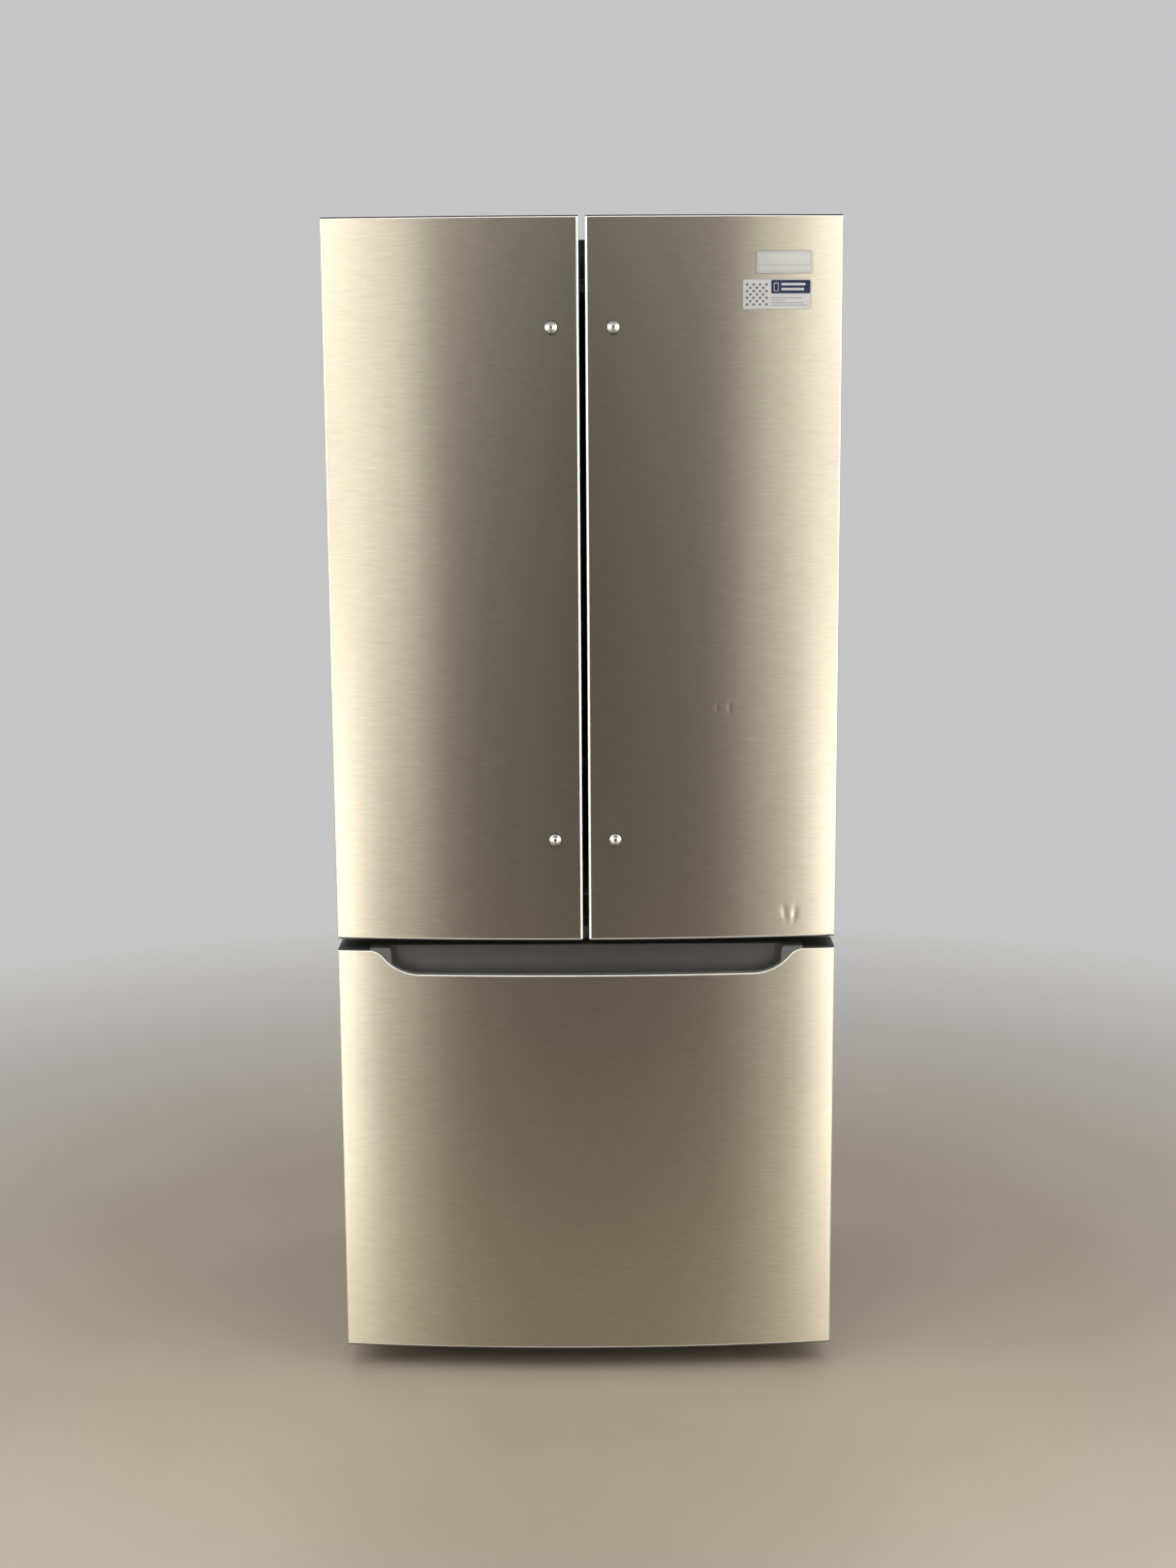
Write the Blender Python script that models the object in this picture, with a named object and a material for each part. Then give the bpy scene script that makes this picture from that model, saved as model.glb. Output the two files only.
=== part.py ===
"""French door refrigerator with a bottom freezer drawer.

Metres, +Z up, front towards -Y. The origin is on the floor, under the middle of the overall box.
Doors, drawer and every other moving piece hang from an empty that stands on their joint's axis.
"""

import math

import bmesh
import bpy
from mathutils import Matrix, Vector

# ---- driving dimensions ------------------------------------------------------------------------
HALF_WIDTH = 0.400
CROWN_Y = -0.350  # foremost line of the bowed front, at x = 0
BOW = 0.023  # how far the front falls back from the crown to the sides
DOOR_BACK_Y = -0.262
CABINET_FRONT_Y = -0.250
CABINET_BACK_Y = 0.345
CABINET_HALF_WIDTH = 0.398
CABINET_BOTTOM_Z = 0.030
CABINET_TOP_Z = 1.829
DOOR_GAP = 0.010  # between the two doors
DOOR_STEEL_Z = (0.7316, 1.8586)
DRAWER_STEEL_Z = (0.040, 0.7107)

FIT = 0.0003  # clearance between pieces that touch
STEEL = 0.0008  # door and drawer skin
CAP = 0.0016  # how far the end caps stand past the steel
CORNER = 0.0035  # outer edge radius of the door steel
CASE = 0.0012  # cabinet sheet
LINER = 0.002
FLANGE_HALF_WIDTH = 0.378  # inner edge of the case's front flange
FLANGE_TOP_Z = 1.807

FRESH_HALF_WIDTH = 0.345
FRESH_Z = (0.785, 1.765)
FRESH_BACK_Y = 0.270
FREEZER_Z = (0.110, 0.665)
FREEZER_STEP_Z = 0.300  # the freezer is shallower below this, in front of the compressor
FREEZER_BACK_Y = 0.240
FREEZER_LOW_BACK_Y = 0.075
MACHINE_FRONT_Y = 0.125
MACHINE_TOP_Z = 0.255
MACHINE_HALF_WIDTH = 0.375

HINGE_X = 0.386
HINGE_Y = -0.293
HINGE_PIN = 0.004
PIN_CLEARANCE = 0.0005
NOTCH_Z = 1.823  # floor of the recess in the door's top corner, round the hinge arm
HINGE_ARM_Z = (CABINET_TOP_Z + 0.0003, CABINET_TOP_Z + 0.0043)
HINGE_COVER_TOP_Z = 1.855

DIKE_X = (0.060, 0.332)  # raised rim on the inside of a door
DIKE_Z = (0.800, 1.745)
DIKE_DEPTH = 0.045
DIKE_WALL = 0.012
GASKET_X = (0.008, 0.384)
GASKET_WIDTH = 0.016
DOOR_GASKET_Z = (0.748, 1.797)
DRAWER_GASKET_Z = (0.075, 0.700)

STUD_X = 0.0477
STUD_HEIGHTS = {"upper": 1.693, "lower": 0.894}
STUD_RADIUS = 0.010
STUD_RISE = 0.0095
SHANK_RADIUS = 0.003
SHANK_LENGTH = 0.012

BIN_Z = {"bottom": (0.815, 0.925), "middle": (1.130, 1.215), "top": (1.460, 1.545)}
SHELF_Z = {"lower": 1.200, "upper": 1.460}
CRISPER_COVER_Z = (0.968, 0.990)

MULLION_X = -0.042
MULLION_Y = -0.241
MULLION_RADIUS = 0.009
MULLION_Z = (0.812, 1.736)

POCKET_FLAT_Z = 0.6745  # steel edge in front of the finger pocket
POCKET_FLAT_X = 0.280
POCKET_END_X = 0.345
TRIM_HALF_WIDTH = 0.3475
TRIM_Z = (0.640, 0.7150)
TRIM_BACK_Y = -0.300
CAVITY_HALF_WIDTH = 0.3165
CAVITY_BACK_Y = -0.313
CAVITY_FLOOR_Z = 0.646
TRIM_RIM = 0.0025  # trim edge showing above the steel
LIP = 0.005

FRAME_Z = (0.205, 0.235)
FRAME_HALF_WIDTH = 0.332
FRAME_Y = (-0.2515, 0.060)
LEG_X = 0.372
LEG_Y = -0.205
ROLLER_X = 0.330
ROLLER_Y = 0.270
ROLLER_RADIUS = 0.020
FAN_AXIS = (0.235, 0.130)  # y, z of the condenser fan's shaft
CHILL_FAN_AXIS = (0.0, 0.600)  # x, z of the evaporator fan's shaft
SHAFT = 0.002


def front_y(x):
    """The bowed front surface at x."""
    return CROWN_Y + BOW * (x / HALF_WIDTH) ** 2


STUD_SEAT_Y = front_y(STUD_X - STUD_RADIUS) - FIT
REAR_Y = STUD_RISE - STUD_SEAT_Y  # the back reaches as far from the origin as the studs

# colour, roughness, metallic
LOOKS = {
    "brushed_steel": ((0.62, 0.59, 0.54, 1), 0.32, 1.0),
    "chrome": ((0.86, 0.86, 0.85, 1), 0.10, 1.0),
    "case_paint": ((0.16, 0.16, 0.165, 1), 0.45, 0.3),
    "zinc_steel": ((0.55, 0.56, 0.57, 1), 0.40, 1.0),
    "black_paint": ((0.03, 0.03, 0.03, 1), 0.45, 0.0),
    "foam": ((0.80, 0.72, 0.52, 1), 0.90, 0.0),
    "liner_plastic": ((0.86, 0.87, 0.87, 1), 0.35, 0.0),
    "clear_plastic": ((0.80, 0.86, 0.88, 1), 0.12, 0.0),
    "cap_plastic": ((0.055, 0.054, 0.052, 1), 0.55, 0.0),
    "trim_plastic": ((0.11, 0.11, 0.105, 1), 0.50, 0.0),
    "gasket_rubber": ((0.14, 0.14, 0.14, 1), 0.80, 0.0),
    "rail_paint": ((0.30, 0.30, 0.29, 1), 0.50, 0.2),
    "fin_aluminium": ((0.70, 0.71, 0.72, 1), 0.40, 1.0),
    "wheel_plastic": ((0.05, 0.05, 0.05, 1), 0.60, 0.0),
}


# ---- shapes: each returns a function that adds one closed body to an empty bmesh ----------------
def block(xs, ys, zs):
    """A box, from a pair of limits along each axis."""
    low = Vector((min(xs), min(ys), min(zs)))
    high = Vector((max(xs), max(ys), max(zs)))

    def add(bm):
        place = Matrix.Translation((low + high) / 2) @ Matrix.Diagonal((*(high - low), 1))
        bmesh.ops.create_cube(bm, size=1, matrix=place)

    return add


def prism(outline, axis, span):
    """An outline extruded along an axis. It is (x, y) along Z, (x, z) along Y, (y, z) along X."""
    spread = {
        "X": lambda u, v, w: (w, u, v),
        "Y": lambda u, v, w: (u, w, v),
        "Z": lambda u, v, w: (u, v, w),
    }[axis]

    def add(bm):
        base = [bm.verts.new(spread(u, v, span[0])) for u, v in outline]
        face = bm.faces.new(base)
        lifted = bmesh.ops.extrude_face_region(bm, geom=[face])["geom"]
        moved = [v for v in lifted if isinstance(v, bmesh.types.BMVert)]
        shift = Vector(spread(0, 0, span[1])) - Vector(spread(0, 0, span[0]))
        bmesh.ops.translate(bm, verts=moved, vec=shift)

    return add


def folded_sheet(outer, inner, zs):
    """A bent sheet standing along Z between two outlines with as many points each."""

    def add(bm):
        rings = [[bm.verts.new((x, y, z)) for x, y in line] for z in zs for line in (outer, inner)]
        low_out, low_in, high_out, high_in = rings
        for a, b in zip(range(len(outer) - 1), range(1, len(outer))):
            bm.faces.new((low_out[a], low_out[b], high_out[b], high_out[a]))
            bm.faces.new((low_in[b], low_in[a], high_in[a], high_in[b]))
            bm.faces.new((low_out[b], low_out[a], low_in[a], low_in[b]))
            bm.faces.new((high_out[a], high_out[b], high_in[b], high_in[a]))
        for end in (0, -1):
            bm.faces.new((low_out[end], high_out[end], high_in[end], low_in[end]))

    return add


def turned(profile, centre, axis, steps):
    """A (radius, height) profile turned about an axis through centre. It starts and ends on the axis."""
    turn = {
        "X": Matrix.Rotation(math.pi / 2, 4, "Y"),
        "-Y": Matrix.Rotation(math.pi / 2, 4, "X"),
        "Z": Matrix.Identity(4),
    }[axis]

    def add(bm):
        line = [bm.verts.new((radius, 0, height)) for radius, height in profile]
        edges = [bm.edges.new(pair) for pair in zip(line, line[1:])]
        bmesh.ops.spin(
            bm, geom=line + edges, cent=(0, 0, 0), axis=(0, 0, 1), angle=math.tau, steps=steps
        )
        bmesh.ops.remove_doubles(bm, verts=bm.verts[:], dist=1e-6)
        bmesh.ops.transform(bm, verts=bm.verts[:], matrix=Matrix.Translation(centre) @ turn)

    return add


def rod(centre, axis, radius, length, steps=16):
    """A cylinder that starts at centre and runs along the axis."""
    return turned([(0, 0), (radius, 0), (radius, length), (0, length)], centre, axis, steps)


# ---- objects -------------------------------------------------------------------------------------
def clear_scene():
    for old in list(bpy.data.objects):
        bpy.data.objects.remove(old)


def mesh_from(name, shapes, origin):
    """One mesh holding the shapes, with its zero at the origin given."""
    whole = bpy.data.meshes.new(name)
    bm = bmesh.new()
    for shape in shapes:
        body = bmesh.new()
        shape(body)
        bmesh.ops.recalc_face_normals(body, faces=body.faces[:])
        piece = bpy.data.meshes.new(name)
        body.to_mesh(piece)
        body.free()
        bm.from_mesh(piece)
        bpy.data.meshes.remove(piece)
    bmesh.ops.translate(bm, verts=bm.verts[:], vec=-origin)
    bm.to_mesh(whole)
    bm.free()
    return whole


def empty(name, location, parent=None):
    """A point on a joint's axis, which carries the pieces that move on it."""
    frame = bpy.data.objects.new(name, None)
    frame.empty_display_size = 0.05
    bpy.context.scene.collection.objects.link(frame)
    frame.parent = parent
    frame["world"] = list(location)
    above = Vector(parent["world"]) if parent else Vector((0, 0, 0))
    frame.location = Vector(location) - above
    return frame


def finish_material(name, look):
    colour, roughness, metallic = LOOKS[look]
    material = bpy.data.materials.new(name + "_" + look)
    material.use_nodes = True
    shader = material.node_tree.nodes["Principled BSDF"]
    shader.inputs["Base Color"].default_value = colour
    shader.inputs["Roughness"].default_value = roughness
    shader.inputs["Metallic"].default_value = metallic
    return material


def helper(name, shapes, carrier):
    """The second operand of a Boolean, which isn't part of the object."""
    tool = bpy.data.objects.new(name, mesh_from(name, shapes, Vector(carrier["world"])))
    bpy.context.scene.collection.objects.link(tool)
    tool.parent = carrier
    tool.hide_render = True
    tool.display_type = "WIRE"
    return tool


def solid(name, look, carrier, base, *steps):
    """A sub-part: a base shape, then ("UNION" or "DIFFERENCE", shape, ...) steps, on its carrier."""
    node = bpy.data.objects.new(name, mesh_from(name, [base], Vector(carrier["world"])))
    bpy.context.scene.collection.objects.link(node)
    node.parent = carrier
    node.data.materials.append(finish_material(name, look))
    for number, (operation, *shapes) in enumerate(steps):
        boolean = node.modifiers.new(f"{operation.lower()}_{number}", "BOOLEAN")
        boolean.operation = operation
        boolean.solver = "EXACT"
        boolean.use_self = len(shapes) > 1
        boolean.object = helper(f"{name}.{operation.lower()}_{number}", shapes, carrier)
    return node


# ---- outlines ------------------------------------------------------------------------------------
def front_outline(left, right, inset):
    """The plan of a door front between two sides, from its back left corner to its back right."""
    radius = CORNER - inset
    steps = round((right - left) / 0.033)
    points = [(left + inset, DOOR_BACK_Y)]
    for turn in range(180, 271, 30):
        angle = math.radians(turn)
        centre = (left + CORNER, front_y(left + CORNER) + CORNER)
        points.append((centre[0] + radius * math.cos(angle), centre[1] + radius * math.sin(angle)))
    for step in range(1, steps):
        x = left + CORNER + (right - left - 2 * CORNER) * step / steps
        points.append((x, front_y(x) + inset))
    for turn in range(270, 361, 30):
        angle = math.radians(turn)
        centre = (right - CORNER, front_y(right - CORNER) + CORNER)
        points.append((centre[0] + radius * math.cos(angle), centre[1] + radius * math.sin(angle)))
    points.append((right - inset, DOOR_BACK_Y))
    return points


def bowed_strip(half_width, inset, back_y):
    """The plan of a piece behind the bowed front, as deep as back_y."""
    steps = 20
    xs = [half_width * (2 * step / steps - 1) for step in range(steps + 1)]
    return [(x, front_y(x) + inset) for x in xs] + [(half_width, back_y), (-half_width, back_y)]


def pocket_edge(rise):
    """The lowered edge over the finger pocket, right half, from its flat part up its S-curve."""
    steps = 8
    points = []
    for step in range(steps + 1):
        share = step / steps
        x = POCKET_FLAT_X + (POCKET_END_X - POCKET_FLAT_X) * share
        lift = (DRAWER_STEEL_Z[1] - POCKET_FLAT_Z) * (1 - math.cos(math.pi * share)) / 2
        points.append((x, POCKET_FLAT_Z + rise + lift))
    return points


def pocket_opening(rise, half_width, top_z):
    """Everything above the lowered edge, out to half_width, in (x, z)."""
    right = [(x, z) for x, z in pocket_edge(rise) if x < half_width]
    right += [(half_width, right[-1][1] + 0.001), (half_width, top_z)]
    return right + [(-x, z) for x, z in reversed(right)]


def rim_blocks(xs, ys, zs, wall):
    """Four walls round an opening that faces Y."""
    (x0, x1), (z0, z1) = xs, zs
    return [
        block((x0, x0 + wall), ys, zs),
        block((x1 - wall, x1), ys, zs),
        block((x0 + wall / 2, x1 - wall / 2), ys, (z0, z0 + wall)),
        block((x0 + wall / 2, x1 - wall / 2), ys, (z1 - wall, z1)),
    ]


def sided(side, span):
    """A span of x, on the right for side 1 and on the left for side -1."""
    return tuple(sorted((side * span[0], side * span[1])))


def tray(name, look, carrier, xs, ys, zs, wall, *more):
    """A box that is open on top."""
    inside = block(
        (min(xs) + wall, max(xs) - wall), (ys[0] + wall, ys[1] - wall), (zs[0] + wall, zs[1] + 0.05)
    )
    return solid(name, look, carrier, block(xs, ys, zs), ("DIFFERENCE", inside), *more)


# ---- cabinet -------------------------------------------------------------------------------------
def cabinet_shell(root):
    """Painted wrapper with its front flange, the back panel, the foam and the two liners."""
    width, front, back = CABINET_HALF_WIDTH, CABINET_FRONT_Y, CABINET_BACK_Y
    bottom, top = CABINET_BOTTOM_Z, CABINET_TOP_Z
    inner = width - CASE
    solid(
        "cabinet_case", "case_paint", root,
        block((-width, width), (front, back), (bottom, top)),
        (
            "DIFFERENCE",
            block((-inner, inner), (front + CASE, back + 0.02), (bottom - 0.02, top - CASE)),
            block((-FLANGE_HALF_WIDTH, FLANGE_HALF_WIDTH), (front - 0.01, front + 0.01),
                  (bottom - 0.01, FLANGE_TOP_Z)),
        ),
    )
    foam_x = inner - FIT
    foam_back = back - 0.0025
    rib_half = 0.020
    outline = [(-foam_x, foam_back + FIT), (foam_x, foam_back + FIT), (foam_x, back - 0.0005)]
    for x in (0.25, 0.0, -0.25):
        outline += [(x + rib_half + 0.008, back - 0.0005), (x + rib_half, REAR_Y)]
        outline += [(x - rib_half, REAR_Y), (x - rib_half - 0.008, back - 0.0005)]
    outline.append((-foam_x, back - 0.0005))
    solid(
        "cabinet_back_panel", "zinc_steel", root,
        prism(outline, "Z", (MACHINE_TOP_Z + 0.007, top - CASE - FIT)),
    )
    shell = LINER + FIT
    fresh_x = FRESH_HALF_WIDTH + shell
    solid(
        "insulation", "foam", root,
        block((-foam_x, foam_x), (front + CASE + FIT, foam_back), (0.0463, top - CASE - FIT)),
        (
            "DIFFERENCE",
            block((-fresh_x, fresh_x), (front - 0.01, FRESH_BACK_Y + shell),
                  (FRESH_Z[0] - shell, FRESH_Z[1] + shell)),
            block((-fresh_x, fresh_x), (front - 0.01, FREEZER_BACK_Y + shell),
                  (FREEZER_STEP_Z - shell, FREEZER_Z[1] + shell)),
            block((-fresh_x, fresh_x), (front - 0.01, FREEZER_LOW_BACK_Y + shell),
                  (FREEZER_Z[0] - shell, FREEZER_STEP_Z + 0.01)),
            block((-MACHINE_HALF_WIDTH, MACHINE_HALF_WIDTH), (MACHINE_FRONT_Y, back + 0.02),
                  (0.0, MACHINE_TOP_Z)),
        ),
    )
    liners(root, front)


def liners(root, front):
    """Moulded compartment walls. Each has a front flange that the door gaskets seal on."""
    flange_x = FLANGE_HALF_WIDTH - FIT
    x = FRESH_HALF_WIDTH
    deep = FRESH_BACK_Y
    low, high = FRESH_Z
    ledges = [
        block(sided(side, (x - 0.006, x + 0.001)), (-0.11, 0.22), (z - 0.012, z - 0.001))
        for side in (-1, 1)
        for z in (*SHELF_Z.values(), CRISPER_COVER_Z[0])
    ]
    solid(
        "fresh_food_liner", "liner_plastic", root,
        block((-x - LINER, x + LINER), (front + 0.0002, deep + LINER), (low - LINER, high + LINER)),
        ("UNION", block((-flange_x, flange_x), (front, front + CASE), (0.745, FLANGE_TOP_Z - FIT))),
        ("DIFFERENCE", block((-x, x), (front - 0.01, deep), (low, high))),
        ("UNION", *ledges),
    )
    low, high = FREEZER_Z
    step, deep, near = FREEZER_STEP_Z, FREEZER_BACK_Y, FREEZER_LOW_BACK_Y
    rails = []
    for side in (-1, 1):
        rails.append(block(sided(side, (0.3395, x + 0.001)), (-0.20, 0.06), (0.208, 0.232)))
        rails.append(block(sided(side, (0.329, x + 0.001)), (-0.20, 0.17), (0.405, 0.4175)))
    solid(
        "freezer_liner", "liner_plastic", root,
        block((-x - LINER, x + LINER), (front + 0.0002, deep + LINER), (step - LINER, high + LINER)),
        (
            "UNION",
            block((-x - LINER, x + LINER), (front + 0.0004, near + LINER), (low - LINER, step + 0.01)),
            block((-flange_x, flange_x), (front, front + CASE), (0.048, 0.7025)),
        ),
        (
            "DIFFERENCE",
            block((-x, x), (front - 0.01, deep), (step, high)),
            block((-x, x), (front - 0.01, near), (low, step + 0.02)),
        ),
        ("UNION", *rails),
    )


def base_pan(root):
    """Bottom pan with its roller brackets, axles, leg holes and the condenser fan's motor."""
    edge = CABINET_HALF_WIDTH - CASE - FIT
    floor = 0.0305
    brackets, wells = [], []
    for side in (-1, 1):
        wells.append(block(sided(side, (ROLLER_X - 0.012, ROLLER_X + 0.012)),
                           (ROLLER_Y - 0.024, ROLLER_Y + 0.024), (floor - 0.01, 0.10)))
        wells.append(rod((side * LEG_X, LEG_Y, floor - 0.01), "Z", 0.0065, 0.03, 12))
        for near in (ROLLER_X - 0.0155, ROLLER_X + 0.0125):
            brackets.append(block(sided(side, (near, near + 0.003)),
                                  (ROLLER_Y - 0.015, ROLLER_Y + 0.015), (0.012, floor + 0.001)))
        start = min(side * (ROLLER_X - 0.014), side * (ROLLER_X + 0.014))
        brackets.append(rod((start, ROLLER_Y, ROLLER_RADIUS), "X", 0.004, 0.028, 12))
    y, z = FAN_AXIS
    motor = [
        block((-0.045, -0.042), (y - 0.030, y + 0.030), (floor + 0.001, z + 0.024)),
        rod((-0.0425, y, z), "X", 0.018, 0.032, 16),
        rod((-0.012, y, z), "X", SHAFT, 0.030, 10),
    ]
    solid(
        "base_pan", "zinc_steel", root,
        block((-edge, edge), (-0.226, 0.3425), (floor, 0.0458)),
        ("DIFFERENCE", block((-edge + 0.0015, edge - 0.0015), (-0.2245, 0.341), (floor + 0.002, 0.06))),
        ("DIFFERENCE", *wells),
        ("UNION", *brackets, *motor),
    )


def hinges(root):
    """Top hinge arms with their covers, and the centre rail that carries the lower hinge pins."""
    for side, word in ((-1, "left"), (1, "right")):
        low, high = HINGE_ARM_Z
        pin_start = NOTCH_Z - 0.020
        solid(
            f"top_hinge_{word}", "zinc_steel", root,
            block(sided(side, (0.335, 0.392)), (-0.244, -0.165), (low, high)),
            (
                "UNION",
                block(sided(side, (0.3765, 0.3955)), (HINGE_Y, -0.240), (low, high)),
                rod((side * HINGE_X, HINGE_Y, low), "Z", 0.0095, high - low, 20),
                rod((side * HINGE_X, HINGE_Y, pin_start), "Z", HINGE_PIN, high - pin_start + 0.001, 14),
            ),
        )
        outer = sided(side, (0.3285, 0.3970))
        wall = 0.0022
        roof = HINGE_COVER_TOP_Z
        solid(
            f"hinge_cover_{word}", "cap_plastic", root,
            block(outer, (-0.2485, -0.155), (low, roof)),
            (
                "DIFFERENCE",
                block((outer[0] + wall, outer[1] - wall), (-0.2485 + wall, -0.155 - wall),
                      (low - 0.02, roof - wall)),
                block(sided(side, (0.3755, 0.3965)), (-0.26, -0.23), (low - 0.02, high + 0.0012)),
            ),
        )
    plates = []
    for side in (-1, 1):
        plates.append(block(sided(side, (0.3450, 0.3950)), (-0.308, -0.252), (0.7240, 0.7280)))
        plates.append(rod((side * HINGE_X, HINGE_Y, 0.7270), "Z", HINGE_PIN, 0.023, 14))
    solid(
        "center_hinge_rail", "rail_paint", root,
        block((-0.3960, 0.3960), (-0.256, CABINET_FRONT_Y - FIT), (0.7030, 0.7420)),
        ("UNION", *plates),
    )


def shelving(root):
    """Glass shelves in moulded rims, two to a row, and the cover over the crispers."""
    for level, z in SHELF_Z.items():
        for side, word in ((-1, "left"), (1, "right")):
            xs = sided(side, (0.004, 0.3435))
            solid(
                f"shelf_{level}_{word}", "clear_plastic", root,
                block(xs, (-0.125, 0.245), (z, z + 0.016)),
                (
                    "DIFFERENCE",
                    block((xs[0] + 0.012, xs[1] - 0.012), (-0.110, 0.233), (z + 0.011, z + 0.03)),
                    block((xs[0] + 0.012, xs[1] - 0.012), (-0.110, 0.233), (z - 0.01, z + 0.006)),
                ),
            )
    low, high = CRISPER_COVER_Z
    cuts = []
    for side in (-1, 1):
        cuts.append(block(sided(side, (0.010, 0.330)), (-0.078, 0.235), (high - 0.005, high + 0.02)))
        cuts.append(block(sided(side, (0.090, 0.185)), (-0.12, -0.089), (low + 0.006, high - 0.006)))
    solid(
        "crisper_cover", "clear_plastic", root,
        block((-0.3435, 0.3435), (-0.100, 0.245), (low, high)),
        ("DIFFERENCE", *cuts),
    )


def air_and_light(root):
    """Air duct cover on the back wall, and the ceiling box with the mullion's guide."""
    slots = []
    for z in (1.10, 1.35, 1.60):
        for side in (-1, 1):
            for row in range(3):
                low = z + 0.014 * row
                slots.append(block(sided(side, (0.035, 0.085)), (0.24, 0.262), (low, low + 0.007)))
    solid(
        "air_duct_cover", "liner_plastic", root,
        prism([(-0.110, 0.2697), (0.110, 0.2697), (0.095, 0.255), (-0.095, 0.255)], "Z", (1.01, 1.70)),
        ("DIFFERENCE", *slots),
    )
    top = FRESH_Z[1] - FIT
    solid(
        "control_box", "liner_plastic", root,
        prism([(-0.080, top), (0.130, top), (0.120, 1.738), (-0.060, 1.738)], "X", (-0.17, 0.17)),
        (
            "UNION",
            block((-0.020, 0.020), (-0.210, -0.070), (1.757, top)),
            block((-0.050, 0.050), (-0.238, -0.205), (1.748, top)),
        ),
    )


def fan(name, centre, axis, radius, root):
    """Hub and five pitched blades on a bore for the shaft."""
    depth = 0.016
    hub = radius * 0.33

    def blade(angle):
        def add(bm):
            length = radius - hub * 0.7
            place = Matrix.Translation((hub * 0.7 + length / 2, 0, depth / 2))
            place = place @ Matrix.Rotation(math.radians(32), 4, "X")
            place = place @ Matrix.Diagonal((length, radius * 0.42, 0.0014, 1))
            turn = {"X": Matrix.Rotation(math.pi / 2, 4, "Y"), "-Y": Matrix.Rotation(math.pi / 2, 4, "X")}
            whole = Matrix.Translation(centre) @ turn[axis] @ Matrix.Rotation(angle, 4, "Z")
            bmesh.ops.create_cube(bm, size=1, matrix=whole @ place)

        return add

    back = Vector(centre) + {"X": Vector((-0.01, 0, 0)), "-Y": Vector((0, 0.01, 0))}[axis]
    carrier = empty(name + "_shaft", centre, root)
    solid(
        name, "black_paint", carrier,
        rod(centre, axis, hub, depth, 15),
        ("UNION", *[blade(math.tau * k / 5) for k in range(5)]),
        ("DIFFERENCE", rod(tuple(back), axis, SHAFT + 0.0004, depth + 0.02, 10)),
    )


def fin_block(name, xs, ys, zs, fins, root):
    """A plate with upright fins that stand out towards the front."""
    pitch = (xs[1] - xs[0] - 0.002) / (fins - 1)
    spine = ys[1] - 0.008
    outline = [(xs[1], ys[1]), (xs[0], ys[1])]
    for number in range(fins):
        x = xs[0] + pitch * number
        outline += [(x, spine if number else ys[0]), (x, ys[0]), (x + 0.002, ys[0])]
        if number < fins - 1:
            outline.append((x + 0.002, spine))
    tidy = [p for k, p in enumerate(outline) if k == 0 or p != outline[k - 1]]
    solid(name, "fin_aluminium", root, prism(tidy, "Z", zs))


def cooling(root):
    """Compressor, condenser, evaporator, their fans and the two covers."""
    x, y = -0.225, 0.235
    can = [(0, 0.050), (0.045, 0.052), (0.060, 0.064), (0.064, 0.095), (0.064, 0.132),
           (0.056, 0.168), (0.034, 0.188), (0, 0.194)]
    feet = [rod((x + dx, y + dy, 0.0328), "Z", 0.009, 0.016, 10)
            for dx in (-0.062, 0.062) for dy in (-0.052, 0.052)]
    solid(
        "compressor", "black_paint", root,
        turned(can, (x, y, 0), "Z", 20),
        ("UNION", block((x - 0.075, x + 0.075), (y - 0.064, y + 0.064), (0.0480, 0.0530)), *feet),
    )
    fin_block("condenser", (0.090, 0.300), (0.180, 0.290), (0.036, 0.215), 12, root)
    fin_block("evaporator", (-0.220, 0.220), (0.204, 0.237), (0.330, 0.545), 16, root)
    fan("condenser_fan", (0.001, *FAN_AXIS), "X", 0.055, root)
    chill_x, chill_z = CHILL_FAN_AXIS
    fan("evaporator_fan", (chill_x, 0.2235, chill_z), "-Y", 0.040, root)
    louvres = [block((-0.10 + 0.04 * k, -0.075 + 0.04 * k), (0.18, 0.20), (z, z + 0.008))
               for k in range(5) for z in (0.320, 0.336, 0.640)]
    solid(
        "evaporator_cover", "liner_plastic", root,
        block((-0.3435, 0.3435), (0.186, 0.190), (0.3015, 0.6635)),
        ("DIFFERENCE", *louvres),
        (
            "UNION",
            rod((chill_x, 0.2045, chill_z), "-Y", 0.014, 0.0160, 14),
            rod((chill_x, 0.2220, chill_z), "-Y", SHAFT, 0.0190, 10),
        ),
    )
    vents = [block((-0.33 + 0.045 * k, -0.30 + 0.045 * k), (0.33, 0.36), (z, z + 0.006))
             for k in range(13) for z in (0.13, 0.155, 0.18, 0.205)]
    gland = (0.315, 0.3445, 0.080)
    solid(
        "machine_cover", "zinc_steel", root,
        block((-0.372, 0.372), (0.3428, 0.3448), (0.036, MACHINE_TOP_Z + 0.0045)),
        ("DIFFERENCE", *vents),
        ("UNION", rod((gland[0], 0.3535, gland[2]), "-Y", 0.010, 0.010, 14)),
        ("DIFFERENCE", rod((gland[0], 0.36, gland[2]), "-Y", 0.0045, 0.03, 12)),
    )


def toe_grille(root):
    slots = [block((-0.325 + 0.05 * k, -0.29 + 0.05 * k), (-0.25, -0.22), (z, z + 0.005))
             for k in range(13) for z in (0.018, 0.030)]
    solid(
        "toe_grille", "cap_plastic", root,
        block((-0.345, 0.345), (-0.235, -0.230), (0.010, 0.0455)),
        ("DIFFERENCE", *slots),
    )


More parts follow.
